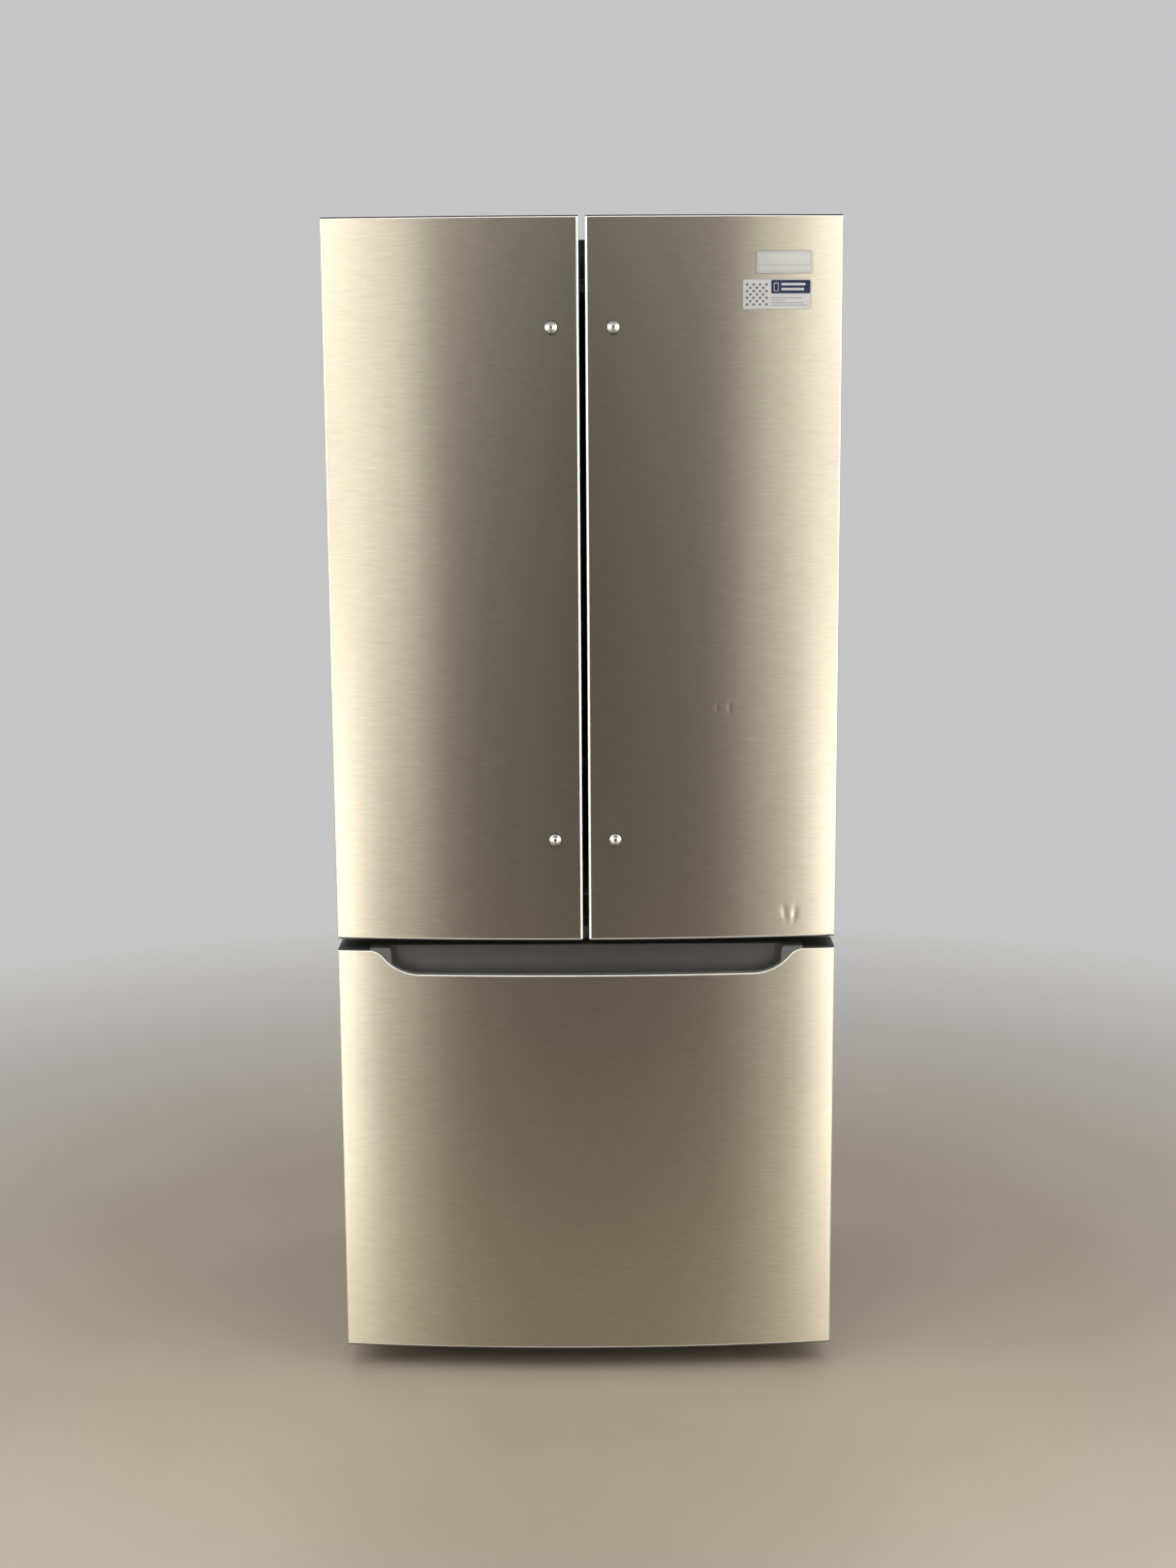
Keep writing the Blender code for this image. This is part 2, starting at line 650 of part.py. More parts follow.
def supports(root):
    """Two levelling legs at the front and two rollers at the back."""
    for side, word in ((-1, "left"), (1, "right")):
        leg = empty(f"levelling_leg_{word}_axis", (side * LEG_X, LEG_Y, 0), root)
        profile = [(0, 0), (0.017, 0), (0.019, 0.003), (0.019, 0.009), (0.008, 0.012),
                   (0.005, 0.012), (0.005, 0.0450), (0, 0.0450)]
        solid(f"levelling_leg_{word}", "zinc_steel", leg,
              turned(profile, (side * LEG_X, LEG_Y, 0), "Z", 20))
        wheel = (side * ROLLER_X, ROLLER_Y, ROLLER_RADIUS)
        axle = empty(f"rear_roller_{word}_axle", wheel, root)
        half = 0.009
        start = (wheel[0] - half, wheel[1], wheel[2])
        bore = (wheel[0] - 0.02, wheel[1], wheel[2])
        profile = [(0, 0), (0.0185, 0), (ROLLER_RADIUS, 0.002), (ROLLER_RADIUS, 2 * half - 0.002),
                   (0.0185, 2 * half), (0, 2 * half)]
        solid(
            f"rear_roller_{word}", "wheel_plastic", axle,
            turned(profile, start, "X", 24),
            ("DIFFERENCE", rod(bore, "X", 0.0044, 0.04, 12)),
        )


# ---- doors ---------------------------------------------------------------------------------------
def stud_shape(side, z):
    """Chrome stud that a bar handle fits over: shank, skirt, dome and a socket in its crown."""
    profile = [
        (0, -SHANK_LENGTH), (SHANK_RADIUS, -SHANK_LENGTH), (SHANK_RADIUS, 0), (STUD_RADIUS, 0),
        (STUD_RADIUS, 0.0015), (0.0092, 0.0046), (0.0073, 0.0072), (0.0048, 0.0089),
        (0.0034, STUD_RISE), (0.0030, 0.0074), (0, 0.0070),
    ]
    return turned(profile, (side * STUD_X, STUD_SEAT_Y, z), "-Y", 16)


def door_cuts(side):
    """Hinge recess, pin bores and the holes for the handle studs."""
    notch = block(sided(side, (0.355, 0.42)), (-0.319, -0.25), (NOTCH_Z, 1.90))
    bore = HINGE_PIN + PIN_CLEARANCE
    pins = [rod((side * HINGE_X, HINGE_Y, z), "Z", bore, length, 14)
            for z, length in ((NOTCH_Z - 0.024, 0.04), (0.720, 0.033))]
    holes = [rod((side * STUD_X, STUD_SEAT_Y + 0.015, z), "-Y", SHANK_RADIUS + 0.0004, 0.03, 12)
             for z in STUD_HEIGHTS.values()]
    return notch, pins, holes


def door(side, word, root):
    """One door: steel skin, foamed panel with its dike and caps, gasket, studs and bins."""
    carrier = empty(f"{word}_door_hinge", (side * HINGE_X, HINGE_Y, 0), root)
    left, right = sided(side, (DOOR_GAP / 2, HALF_WIDTH))
    low, high = DOOR_STEEL_Z
    notch, pins, holes = door_cuts(side)
    solid(
        f"{word}_door_skin", "brushed_steel", carrier,
        folded_sheet(front_outline(left, right, 0), front_outline(left, right, STEEL), (low, high)),
        ("DIFFERENCE", notch, *holes),
    )
    plan = front_outline(left, right, 0)
    core = front_outline(left, right, STEEL + FIT)
    dike_x = sided(side, DIKE_X)
    dike_y = (DOOR_BACK_Y - 0.004, DOOR_BACK_Y + DIKE_DEPTH)
    knuckles = []
    if side < 0:
        for z, lug in ((MULLION_Z[1], (0.0005, 0.0085)), (MULLION_Z[0], (-0.0085, -0.0005))):
            knuckles.append(block((-0.066, -0.034), (DOOR_BACK_Y - 0.004, MULLION_Y + 0.008),
                                  (z + lug[0], z + lug[1])))
            start = z - 0.010 if lug[0] > 0 else z - 0.001
            knuckles.append(rod((MULLION_X, MULLION_Y, start), "Z", 0.003, 0.0115, 12))
    solid(
        f"{word}_door_panel", "liner_plastic", carrier,
        prism(core, "Z", (low - CAP + 0.0003, high + CAP - 0.0003)),
        (
            "UNION",
            prism(plan, "Z", (low - CAP, low - FIT)),
            prism(plan, "Z", (high + FIT, high + CAP)),
            *rim_blocks(dike_x, dike_y, DIKE_Z, DIKE_WALL),
            *knuckles,
        ),
        ("DIFFERENCE", notch, *pins, *holes),
    )
    ring(f"{word}_door_gasket", carrier, sided(side, GASKET_X), DOOR_GASKET_Z)
    for place, z in STUD_HEIGHTS.items():
        solid(f"{word}_handle_stud_{place}", "chrome", carrier, stud_shape(side, z))
    for place, zs in BIN_Z.items():
        tray(f"{word}_bin_{place}", "clear_plastic", carrier,
             sided(side, (0.0745, 0.3175)), (-0.2595, -0.152), zs, 0.0025)
    return carrier


def ring(name, carrier, xs, zs):
    """Magnetic gasket, a closed rubber frame on the back of a door or drawer."""
    ys = (DOOR_BACK_Y + FIT, CABINET_FRONT_Y - FIT)
    inner = block(
        (xs[0] + GASKET_WIDTH, xs[1] - GASKET_WIDTH), (ys[0] - 0.01, ys[1] + 0.01),
        (zs[0] + GASKET_WIDTH, zs[1] - GASKET_WIDTH),
    )
    solid(name, "gasket_rubber", carrier, block(xs, ys, zs), ("DIFFERENCE", inner))


def mullion(left_door):
    """The bar that swings out behind the gap between the doors, folded back along the left door."""
    carrier = empty("mullion_hinge", (MULLION_X, MULLION_Y, 0), left_door)
    outline = []
    for step in range(9):
        angle = math.pi + math.pi * step / 8
        outline.append((MULLION_X + MULLION_RADIUS * math.cos(angle),
                        MULLION_Y + MULLION_RADIUS * math.sin(angle)))
    far = MULLION_Y + 0.071
    outline += [(MULLION_X + MULLION_RADIUS, far), (MULLION_X - MULLION_RADIUS, far)]
    low, high = MULLION_Z
    solid(
        "mullion_bar", "trim_plastic", carrier,
        prism(outline, "Z", (low, high)),
        (
            "DIFFERENCE",
            rod((MULLION_X, MULLION_Y, high - 0.012), "Z", 0.0034, 0.02, 12),
            rod((MULLION_X, MULLION_Y, low - 0.008), "Z", 0.0034, 0.02, 12),
        ),
    )


# ---- freezer drawer ------------------------------------------------------------------------------
def freezer_drawer(root):
    """Steel front with its lowered edge, foamed panel, pocket trim, gasket, frame and basket."""
    carrier = empty("drawer_slide", (0, CROWN_Y, 0), root)
    low, high = DRAWER_STEEL_Z
    wide = HALF_WIDTH
    solid(
        "drawer_skin", "brushed_steel", carrier,
        folded_sheet(front_outline(-wide, wide, 0), front_outline(-wide, wide, STEEL), (low, high)),
        ("DIFFERENCE", prism(pocket_opening(0, POCKET_END_X + 0.0001, 0.75), "Y", (-0.37, -0.30))),
    )
    plan = front_outline(-wide, wide, 0)
    core = front_outline(-wide, wide, STEEL + FIT)
    seat = bowed_strip(TRIM_HALF_WIDTH + FIT, -0.05, TRIM_BACK_Y + FIT)
    solid(
        "drawer_panel", "liner_plastic", carrier,
        prism(core, "Z", (low - CAP + 0.0003, high + CAP - 0.0003)),
        (
            "UNION",
            prism(plan, "Z", (low - CAP, low - FIT)),
            prism(plan, "Z", (high + FIT, high + CAP)),
            block((-0.335, 0.335), (DOOR_BACK_Y - 0.004, DOOR_BACK_Y + 0.010), (0.115, 0.660)),
        ),
        ("DIFFERENCE", prism(seat, "Z", (TRIM_Z[0] - FIT, 0.75))),
    )
    hollow = bowed_strip(CAVITY_HALF_WIDTH, STEEL + FIT + LIP, CAVITY_BACK_Y)
    solid(
        "drawer_handle_trim", "trim_plastic", carrier,
        prism(bowed_strip(TRIM_HALF_WIDTH, STEEL + FIT, TRIM_BACK_Y), "Z", TRIM_Z),
        (
            "DIFFERENCE",
            prism(pocket_opening(TRIM_RIM, CAVITY_HALF_WIDTH, 0.75), "Y", (-0.37, CAVITY_BACK_Y)),
            prism(hollow, "Z", (CAVITY_FLOOR_Z, 0.74)),
        ),
    )
    ring("drawer_gasket", carrier, (-GASKET_X[1], GASKET_X[1]), DRAWER_GASKET_Z)
    frame_x = FRAME_HALF_WIDTH
    solid(
        "drawer_frame", "zinc_steel", carrier,
        block((-frame_x, frame_x), FRAME_Y, FRAME_Z),
        (
            "DIFFERENCE",
            block((-frame_x + 0.012, frame_x - 0.012), (FRAME_Y[0] + 0.010, FRAME_Y[1] - 0.010),
                  (0.19, 0.25)),
        ),
    )
    lip = block((-0.328, 0.328), (-0.2470, 0.0555), (FRAME_Z[1] + 0.0005, FRAME_Z[1] + 0.0045))
    inside = block((-0.3125, 0.3125), (-0.2350, 0.0440), (0.1290, 0.45))
    solid(
        "lower_basket", "clear_plastic", carrier,
        block((-0.3155, 0.3155), (-0.2380, 0.0470), (0.1260, 0.3600)),
        ("UNION", lip),
        ("DIFFERENCE", inside),
    )


def inner_drawers(root):
    """Slide members, the upper freezer basket, the crispers and their humidity sliders."""
    for side, word in ((-1, "left"), (1, "right")):
        member = empty(f"slide_{word}_travel", (side * 0.336, -0.235, 0.22), root)
        solid(f"slide_{word}", "zinc_steel", member,
              block(sided(side, (0.3325, 0.3390)), (-0.235, 0.065), (0.207, 0.233)))
        crisper = empty(f"crisper_{word}_travel", (side * 0.17, -0.065, 0.80), root)
        xs = sided(side, (0.006, 0.336))
        pull = block((xs[0] + 0.08, xs[1] - 0.08), (-0.0645, -0.0500), (0.935, 0.950))
        tray(f"crisper_{word}", "clear_plastic", crisper, xs, (-0.055, 0.240), (0.790, 0.960), 0.003,
             ("UNION", pull))
        knob_x = side * 0.110
        knob = empty(f"humidity_slider_{word}_travel", (knob_x, -0.10, 0.979), root)
        solid(f"humidity_slider_{word}", "cap_plastic", knob,
              block((knob_x - 0.014, knob_x + 0.014), (-0.107, -0.0893), (0.9747, 0.9833)))
    basket = empty("upper_basket_travel", (0, -0.175, 0.42), root)
    tray("upper_basket", "clear_plastic", basket, (-0.3275, 0.3275), (-0.175, 0.165), (0.4185, 0.540),
         0.003, ("UNION", *[block(sided(side, (0.3245, 0.3380)), (-0.175, 0.165), (0.4185, 0.4225))
                            for side in (-1, 1)]))


def build():
    clear_scene()
    root = empty("refrigerator", (0, 0, 0))
    cabinet_shell(root)
    base_pan(root)
    hinges(root)
    shelving(root)
    air_and_light(root)
    cooling(root)
    toe_grille(root)
    supports(root)
    left_door = door(-1, "left", root)
    door(1, "right", root)
    mullion(left_door)
    freezer_drawer(root)
    inner_drawers(root)


build()
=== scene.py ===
"""French door refrigerator: its looks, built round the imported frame.

Metres, +Z up, front towards -Y, in the frame's own coordinates.
"""

import math

import bmesh
import bpy
from mathutils import Matrix, Vector


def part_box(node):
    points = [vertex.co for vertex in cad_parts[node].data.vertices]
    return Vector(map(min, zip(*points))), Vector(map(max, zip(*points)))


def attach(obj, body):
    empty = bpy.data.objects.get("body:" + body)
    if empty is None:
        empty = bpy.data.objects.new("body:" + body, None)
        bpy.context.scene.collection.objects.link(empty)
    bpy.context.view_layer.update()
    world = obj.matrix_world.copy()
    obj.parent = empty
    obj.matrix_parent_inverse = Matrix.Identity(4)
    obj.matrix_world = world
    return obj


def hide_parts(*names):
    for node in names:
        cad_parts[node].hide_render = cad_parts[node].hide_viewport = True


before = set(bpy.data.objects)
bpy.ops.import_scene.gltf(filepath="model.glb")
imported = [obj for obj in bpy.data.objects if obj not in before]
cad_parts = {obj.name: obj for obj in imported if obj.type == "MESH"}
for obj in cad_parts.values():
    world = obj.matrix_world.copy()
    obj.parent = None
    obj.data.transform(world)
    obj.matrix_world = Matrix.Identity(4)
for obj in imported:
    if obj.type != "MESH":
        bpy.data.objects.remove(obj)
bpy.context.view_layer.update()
SIDES = ((-1, "left"), (1, "right"))


def spans(node):
    """A CAD node's box as its spans along X, Y and Z."""
    return tuple(zip(*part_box(node)))


def at(node, end, axis):
    """One coordinate of a CAD node's box: end 0 is its low side and 1 its high side."""
    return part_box(node)[end]["XYZ".index(axis)]


# ---- sizes read from the frame -------------------------------------------------------------------
HALF_WIDTH = at("drawer_skin", 1, "X")
CROWN_Y, DOOR_BACK_Y = spans("drawer_skin")[1]
DOOR_Z = spans("left_door_skin")[2]
DRAWER_Z = spans("drawer_skin")[2]
GAP_X = at("right_door_skin", 0, "X")
CASE_X = at("cabinet_case", 1, "X")
CASE_Y, CASE_Z = spans("cabinet_case")[1:]
TRIM_X = at("drawer_handle_trim", 1, "X")
TRIM_Y = at("drawer_handle_trim", 1, "Y")
TRIM_Z = spans("drawer_handle_trim")[2]

# ---- shape of the bowed fronts -------------------------------------------------------------------
FIT = 0.0003  # clearance between pieces that touch
BOW = 0.023  # how far the front falls back from its crown to the sides
CORNER = 0.0035  # vertical edge radius
FOLD = 0.0016  # radius of the folded top and bottom edges
SHEET = 0.0005  # thickness of the steel
SKIN_DEPTH = 0.0011  # from the steel's face to the plastic behind it
CAP_INSET = 0.0004  # an end cap's rim, in from the steel's face
CAP_DEPTH = 0.022  # how far an end cap reaches into a door
CAP_GAP = 0.0002  # between the steel's rim and a cap's plate
CAP_EDGE = 0.0005  # bevel of a cap's rim
POCKET_FLAT_Z = 0.6720  # lowered steel edge in front of the finger pocket
POCKET_X = (0.268, 0.350)  # where the lowered edge starts and ends its S-curve
POCKET_OUTER = 0.030  # outer radius of the S-curve
CURVE_REACH = 0.037  # half the width that gets closer points round an S-curve
RIM = 0.0033  # trim standing above the lowered edge
LIP = 0.005  # thickness of the trim's front lip
CAVITY_X = 0.3165
CAVITY_BACK_Y = -0.313
CAVITY_FLOOR_Z = 0.646
CURVED_Y = -0.325  # only the bowed face lies in front of this
SIDE_STOP_Y = -0.290  # a line down a door's side face, between the notch and the back
NOTCH = {"x": 0.355, "y": -0.319, "z": 1.823}  # recess for the hinge arm in a door's top corner
HINGE = (0.386, -0.293)  # |x| and y of the door hinges' axes


def front_y(x):
    """The bowed front surface at x."""
    return CROWN_Y + BOW * (x / HALF_WIDTH) ** 2


def sided(side, span):
    """A span of x, on the right for side 1 and on the left for side -1."""
    return tuple(sorted((side * span[0], side * span[1])))


def placed(name, data):
    """A new object in the scene."""
    made = bpy.data.objects.new(name, data)
    bpy.context.scene.collection.objects.link(made)
    return made


# ---- camera, light and floor ---------------------------------------------------------------------
CAMERA_AT = (0.0161, -4.0167, 1.6262)
CAMERA_TURN = (9.936, -0.179, -0.363)  # degrees down, to the right and round the view's axis
LENS = 54.08
SENSOR = 36.0


def add_camera():
    """The view of the photograph: a little above the doors' middle, looking slightly down."""
    pitch, yaw, roll = (math.radians(a) for a in CAMERA_TURN)
    ahead = Vector((math.sin(yaw) * math.cos(pitch), math.cos(yaw) * math.cos(pitch), -math.sin(pitch)))
    across = Vector((math.cos(yaw), -math.sin(yaw), 0))
    above = across.cross(ahead)
    x = across * math.cos(roll) + above * math.sin(roll)
    y = above * math.cos(roll) - across * math.sin(roll)
    data = bpy.data.cameras.new("camera")
    data.lens = LENS
    data.sensor_width = SENSOR
    made = placed("camera", data)
    made.matrix_world = Matrix.Translation(CAMERA_AT) @ Matrix((x, y, -ahead)).transposed().to_4x4()
    bpy.context.scene.camera = made


def add_panel_light(name, centre, target, size, power, colour):
    """A soft rectangular light that faces its target and isn't seen itself."""
    data = bpy.data.lights.new(name, "AREA")
    data.shape = "RECTANGLE"
    data.size, data.size_y = size
    data.energy = power
    data.color = colour
    made = placed(name, data)
    made.location = centre
    made.rotation_mode = "QUATERNION"
    made.rotation_quaternion = (Vector(target) - Vector(centre)).to_track_quat("-Z", "Y")
    made.visible_camera = False


SOFT_BOXES = (
    # middle |x|, width, lowest and highest z, watts per square metre on the left and on the right
    (0.225, 0.22, 0.90, 2.70, 0.25, 0.20),
    (0.45, 0.23, 0.90, 1.80, 0.2, 0.2),
    (0.45, 0.23, 1.80, 2.70, 1.35, 0.55),
    (0.70, 0.27, 0.02, 0.90, 1.4, 1.2),
    (0.70, 0.27, 0.90, 1.80, 3.1, 1.9),
    (0.70, 0.27, 1.80, 2.70, 5.5, 4.0),
    (1.00, 0.33, 0.02, 0.90, 17.0, 17.5),
    (1.00, 0.33, 1.80, 2.70, 14.0, 14.8),
    (0.25, 0.50, 2.70, 3.30, 5.2, 5.2),
)
BOX_Y = -1.75
FLOOR_BOXES = ((0.60, -0.65), (0.82, -1.30))  # middle |x| and y
FLOOR_BOX_SIZE = (0.34, 0.70)
FLOOR_BOX_Z = 0.50
FLOOR_POWER = 0.70
WARM = (1.0, 0.965, 0.90)
WARMER = (1.0, 0.94, 0.82)
WORLD_FRONT = (0.004, 0.004, 0.004)
WORLD_SIDE = (0.49, 0.494, 0.497)
WORLD_TOP = (0.50, 0.497, 0.49)
BACKDROP = (0.56, 0.56, 0.56)
TOP_POWER = 30.0
SIDE_POWER = 60.0


def add_lights():
    """Upright soft boxes at both sides, graded towards the middle, and low ones over the floor."""
    for side, _ in SIDES:
        for number, (x, width, low, high, left, right) in enumerate(SOFT_BOXES):
            middle = (low + high) / 2
            power = (left if side < 0 else right) * width * (high - low)
            add_panel_light(f"soft_box_{number}", (side * x, BOX_Y, middle), (side * x, 0, middle),
                            (width, high - low), power, WARM)
        for x, y in FLOOR_BOXES:
            add_panel_light("floor_box", (side * x, y, FLOOR_BOX_Z), (side * x, y, 0),
                            FLOOR_BOX_SIZE, FLOOR_POWER, WARMER)
        add_panel_light("side_box", (side * 2.2, -1.1, 1.6), (0, -0.3, 1.5), (2.6, 2.4), SIDE_POWER, WARM)
    add_panel_light("top_box", (0, 1.0, 3.2), (0, 0, 1.0), (3.0, 1.6), TOP_POWER, WARM)


def add_world():
    """Soft studio surround: nearly black in front of the doors, bright behind, beside and above them."""
    world = bpy.data.worlds.new("studio")
    bpy.context.scene.world = world
    tree = Nodes(world)
    split = tree.add("ShaderNodeSeparateXYZ")
    tree.links.new(tree.add("ShaderNodeTexCoord").outputs["Generated"], split.inputs[0])
    beside = tree.spread(split.outputs["Y"], 0.0, 1.0, (-0.98, -0.55), "SMOOTHSTEP")
    above = tree.spread(split.outputs["Z"], 0.0, 1.0, (0.60, 0.92), "SMOOTHSTEP")
    surround = tree.mix(above, tree.mix(beside, WORLD_FRONT, WORLD_SIDE), WORLD_TOP)
    seen = tree.add("ShaderNodeLightPath").outputs["Is Camera Ray"]
    tree.links.new(tree.mix(seen, surround, BACKDROP), tree.nodes["Background"].inputs["Color"])


def add_floor():
    """A pale round floor that fades into the surround."""
    bm = bmesh.new()
    bmesh.ops.create_circle(bm, cap_ends=True, radius=9.0, segments=96)
    mesh = bpy.data.meshes.new("studio_floor")
    bm.to_mesh(mesh)
    bm.free()
    floor = placed("studio_floor", mesh)
    look = Look("floor", (0.275, 0.246, 0.196), 0.60)
    grain = look.noise(2.5, detail=5)
    look.tint(grain, (0.266, 0.237, 0.188), (0.284, 0.255, 0.204))
    look.bump(look.noise(420.0), 0.0002)
    length = look.add("ShaderNodeVectorMath", operation="LENGTH")
    look.links.new(look.where, length.inputs[0])
    fade = look.spread(length.outputs["Value"], 0.0, 1.0, (0.9, 2.9))
    clear = look.add("ShaderNodeBsdfTransparent")
    mix = look.add("ShaderNodeMixShader")
    look.links.new(fade, mix.inputs[0])
    look.links.new(look.shader.outputs[0], mix.inputs[1])
    look.links.new(clear.outputs[0], mix.inputs[2])
    look.links.new(mix.outputs[0], look.nodes["Material Output"].inputs["Surface"])
    mesh.materials.append(look.material)


# ---- materials -----------------------------------------------------------------------------------
class Nodes:
    """The shader nodes of a material or world."""

    def __init__(self, owner):
        owner.use_nodes = True
        self.nodes, self.links = owner.node_tree.nodes, owner.node_tree.links

    def add(self, kind, **settings):
        node = self.nodes.new(kind)
        for key, value in settings.items():
            setattr(node, key, value)
        return node

    def spread(self, value, low, high, ends=(0.3, 0.7), way="LINEAR"):
        """Maps a value between the ends to low..high."""
        made = self.add("ShaderNodeMapRange", interpolation_type=way)
        for key, number in zip(("From Min", "From Max", "To Min", "To Max"), (*ends, low, high)):
            made.inputs[key].default_value = number
        self.links.new(value, made.inputs["Value"])
        return made.outputs["Result"]

    def mix(self, share, first, second):
        """Mixes a colour or a colour output with a second colour."""
        made = self.add("ShaderNodeMix", data_type="RGBA")
        self.links.new(share, made.inputs[0])
        if isinstance(first, tuple):
            made.inputs[6].default_value = (*first, 1)
        else:
            self.links.new(first, made.inputs[6])
        made.inputs[7].default_value = (*second, 1)
        return made.outputs[2]


class Look(Nodes):
    """One material: a Principled shader whose textures follow the object's own coordinates."""

    def __init__(self, name, colour, roughness, metallic=0.0, sockets=None):
        self.material = bpy.data.materials.new(name)
        super().__init__(self.material)
        self.shader = self.nodes["Principled BSDF"]
        values = {"Base Color": (*colour, 1), "Roughness": roughness, "Metallic": metallic}
        for socket, value in {**values, **(sockets or {})}.items():
            self.shader.inputs[socket].default_value = value
        self.where = self.add("ShaderNodeTexCoord").outputs["Object"]

    def scaled(self, scale, stretch):
        place = self.add("ShaderNodeMapping")
        place.inputs["Scale"].default_value = [scale * s for s in stretch]
        self.links.new(self.where, place.inputs["Vector"])
        return place.outputs["Vector"]

    def noise(self, scale, stretch=(1, 1, 1), detail=3.0):
        made = self.add("ShaderNodeTexNoise")
        made.inputs["Scale"].default_value = 1.0
        made.inputs["Detail"].default_value = detail
        self.links.new(self.scaled(scale, stretch), made.inputs["Vector"])
        return made.outputs[0]

    def cells(self, scale):
        """One random number for each cell of a pattern."""
        made = self.add("ShaderNodeTexVoronoi")
        made.inputs["Scale"].default_value = 1.0
        self.links.new(self.scaled(scale, (1, 1, 1)), made.inputs["Vector"])
        split = self.add("ShaderNodeSeparateColor")
        self.links.new(made.outputs["Color"], split.inputs[0])
        return split.outputs[0]

    def tint(self, value, dark, light, ends=(0.3, 0.7)):
        ramp = self.add("ShaderNodeValToRGB")
        for stop, place, colour in zip(ramp.color_ramp.elements, ends, (dark, light)):
            stop.position = place
            stop.color = (*colour, 1)
        self.links.new(value, ramp.inputs["Fac"])
        self.links.new(ramp.outputs["Color"], self.shader.inputs["Base Color"])

    def rough(self, value, low, high, ends=(0.3, 0.7)):
        self.links.new(self.spread(value, low, high, ends), self.shader.inputs["Roughness"])

    def bump(self, value, distance, strength=1.0):
        """Adds relief. A second call lays finer relief over the first."""
        made = self.add("ShaderNodeBump")
        made.inputs["Distance"].default_value = distance
        made.inputs["Strength"].default_value = strength
        self.links.new(value, made.inputs["Height"])
        normal = self.shader.inputs["Normal"]
        if normal.links:
            self.links.new(normal.links[0].from_socket, made.inputs["Normal"])
        self.links.new(made.outputs["Normal"], normal)


def brushed_steel():
    """Warm stainless sheet with fine horizontal grain, so that highlights stretch up and down."""
    sockets = {"Anisotropic": 0.95, "Anisotropic Rotation": 0.25}
    look = Look("brushed_steel", (0.63, 0.585, 0.49), 0.34, 1.0, sockets)
    grain = look.noise(1.0, (40, 40, 900), detail=3)
    look.tint(grain, (0.565, 0.520, 0.425), (0.69, 0.645, 0.545), (0.25, 0.75))
    look.rough(look.noise(1.0, (60, 60, 1300), detail=2), 0.31, 0.37)
    look.bump(look.noise(1.0, (90, 90, 1500), detail=2), 0.00003, 0.4)
    look.bump(look.noise(4.0, (1, 1, 0.6), detail=1), 0.0005, 0.25)
    tangent = look.add("ShaderNodeTangent", direction_type="RADIAL", axis="Z")
    look.links.new(tangent.outputs[0], look.shader.inputs["Tangent"])
    return look.material


def painted_highlight_edge():
    """Painted highlight: near-white satin steel on the bent-over edges and the edge beside the doors' gap,
    lighter than the steel so they read as bright lines.
    """
    look = Look("edge_steel_painted_highlight", (0.90, 0.885, 0.84), 0.38, 0.2)
    look.tint(look.noise(140.0), (0.86, 0.845, 0.80), (0.93, 0.915, 0.875))
    look.rough(look.noise(90.0), 0.32, 0.44)
    look.bump(look.noise(700.0), 0.00001)
    return look.material


def moulded(name, colour, roughness, relief=0.00005, scale=900.0, sockets=None, vary=0.09):
    """Moulded plastic: fine grain, slight colour and gloss changes, faint handling marks."""
    look = Look(name, colour, roughness, 0.0, sockets)
    darker = [c * (1 - vary) for c in colour]
    lighter = [min(1.0, c * (1 + vary * 0.8)) for c in colour]
    look.tint(look.noise(7.0, detail=5), darker, lighter)
    look.rough(look.noise(38.0, (1, 1, 0.6), detail=4), roughness * 0.85, roughness * 1.15)
    look.bump(look.noise(scale), relief)
    return look.material


def painted_metal(name, colour, roughness, metallic=0.0):
    """Baked paint with orange peel."""
    look = Look(name, colour, roughness, metallic, {"Coat Weight": 0.25, "Coat Roughness": 0.20})
    look.tint(look.noise(4.0, detail=4), [c * 0.92 for c in colour], [c * 1.08 for c in colour])
    look.rough(look.noise(60.0), roughness * 0.9, roughness * 1.1)
    look.bump(look.noise(620.0, detail=2), 0.00006)
    return look.material


def galvanised():
    """Zinc coated steel with a soft spangle."""
    look = Look("zinc_steel", (0.56, 0.57, 0.58), 0.40, 1.0)
    spangle = look.cells(170.0)
    look.tint(spangle, (0.51, 0.525, 0.54), (0.60, 0.61, 0.62), (0.0, 1.0))
    look.rough(look.cells(120.0), 0.36, 0.48, (0.0, 1.0))
    look.bump(look.noise(300.0), 0.00003)
    return look.material


def polished(name, colour, roughness):
    """Bare or plated metal with faint wiping marks."""
    look = Look(name, colour, roughness, 1.0)
    look.tint(look.noise(120.0), [c * 0.95 for c in colour], colour)
    look.rough(look.noise(260.0, detail=4), roughness * 0.7, roughness * 1.5)
    look.bump(look.noise(90.0), 0.00002)
    return look.material


def see_through(name, colour, roughness, ior):
    """Clear plastic or glass."""
    look = Look(name, colour, roughness, 0.0, {"Transmission Weight": 0.92, "IOR": ior})
    look.tint(look.noise(6.0), [c * 0.97 for c in colour], colour)
    look.rough(look.noise(55.0, detail=4), roughness * 0.7, roughness * 1.4)
    look.bump(look.noise(30.0), 0.00003)
    return look.material


def foamed():
    look = Look("foam", (0.80, 0.72, 0.50), 0.9)
    look.tint(look.noise(30.0, detail=6), (0.68, 0.58, 0.36), (0.86, 0.79, 0.58))
    look.bump(look.cells(500.0), 0.0006)
    return look.material


def ribbed_aluminium():
    look = Look("fin_aluminium", (0.72, 0.73, 0.74), 0.35, 1.0)
    look.tint(look.noise(200.0), (0.60, 0.61, 0.62), (0.78, 0.79, 0.80))
    look.rough(look.noise(90.0), 0.28, 0.46)
    look.bump(look.noise(1.0, (40, 40, 2400)), 0.0001)
    return look.material


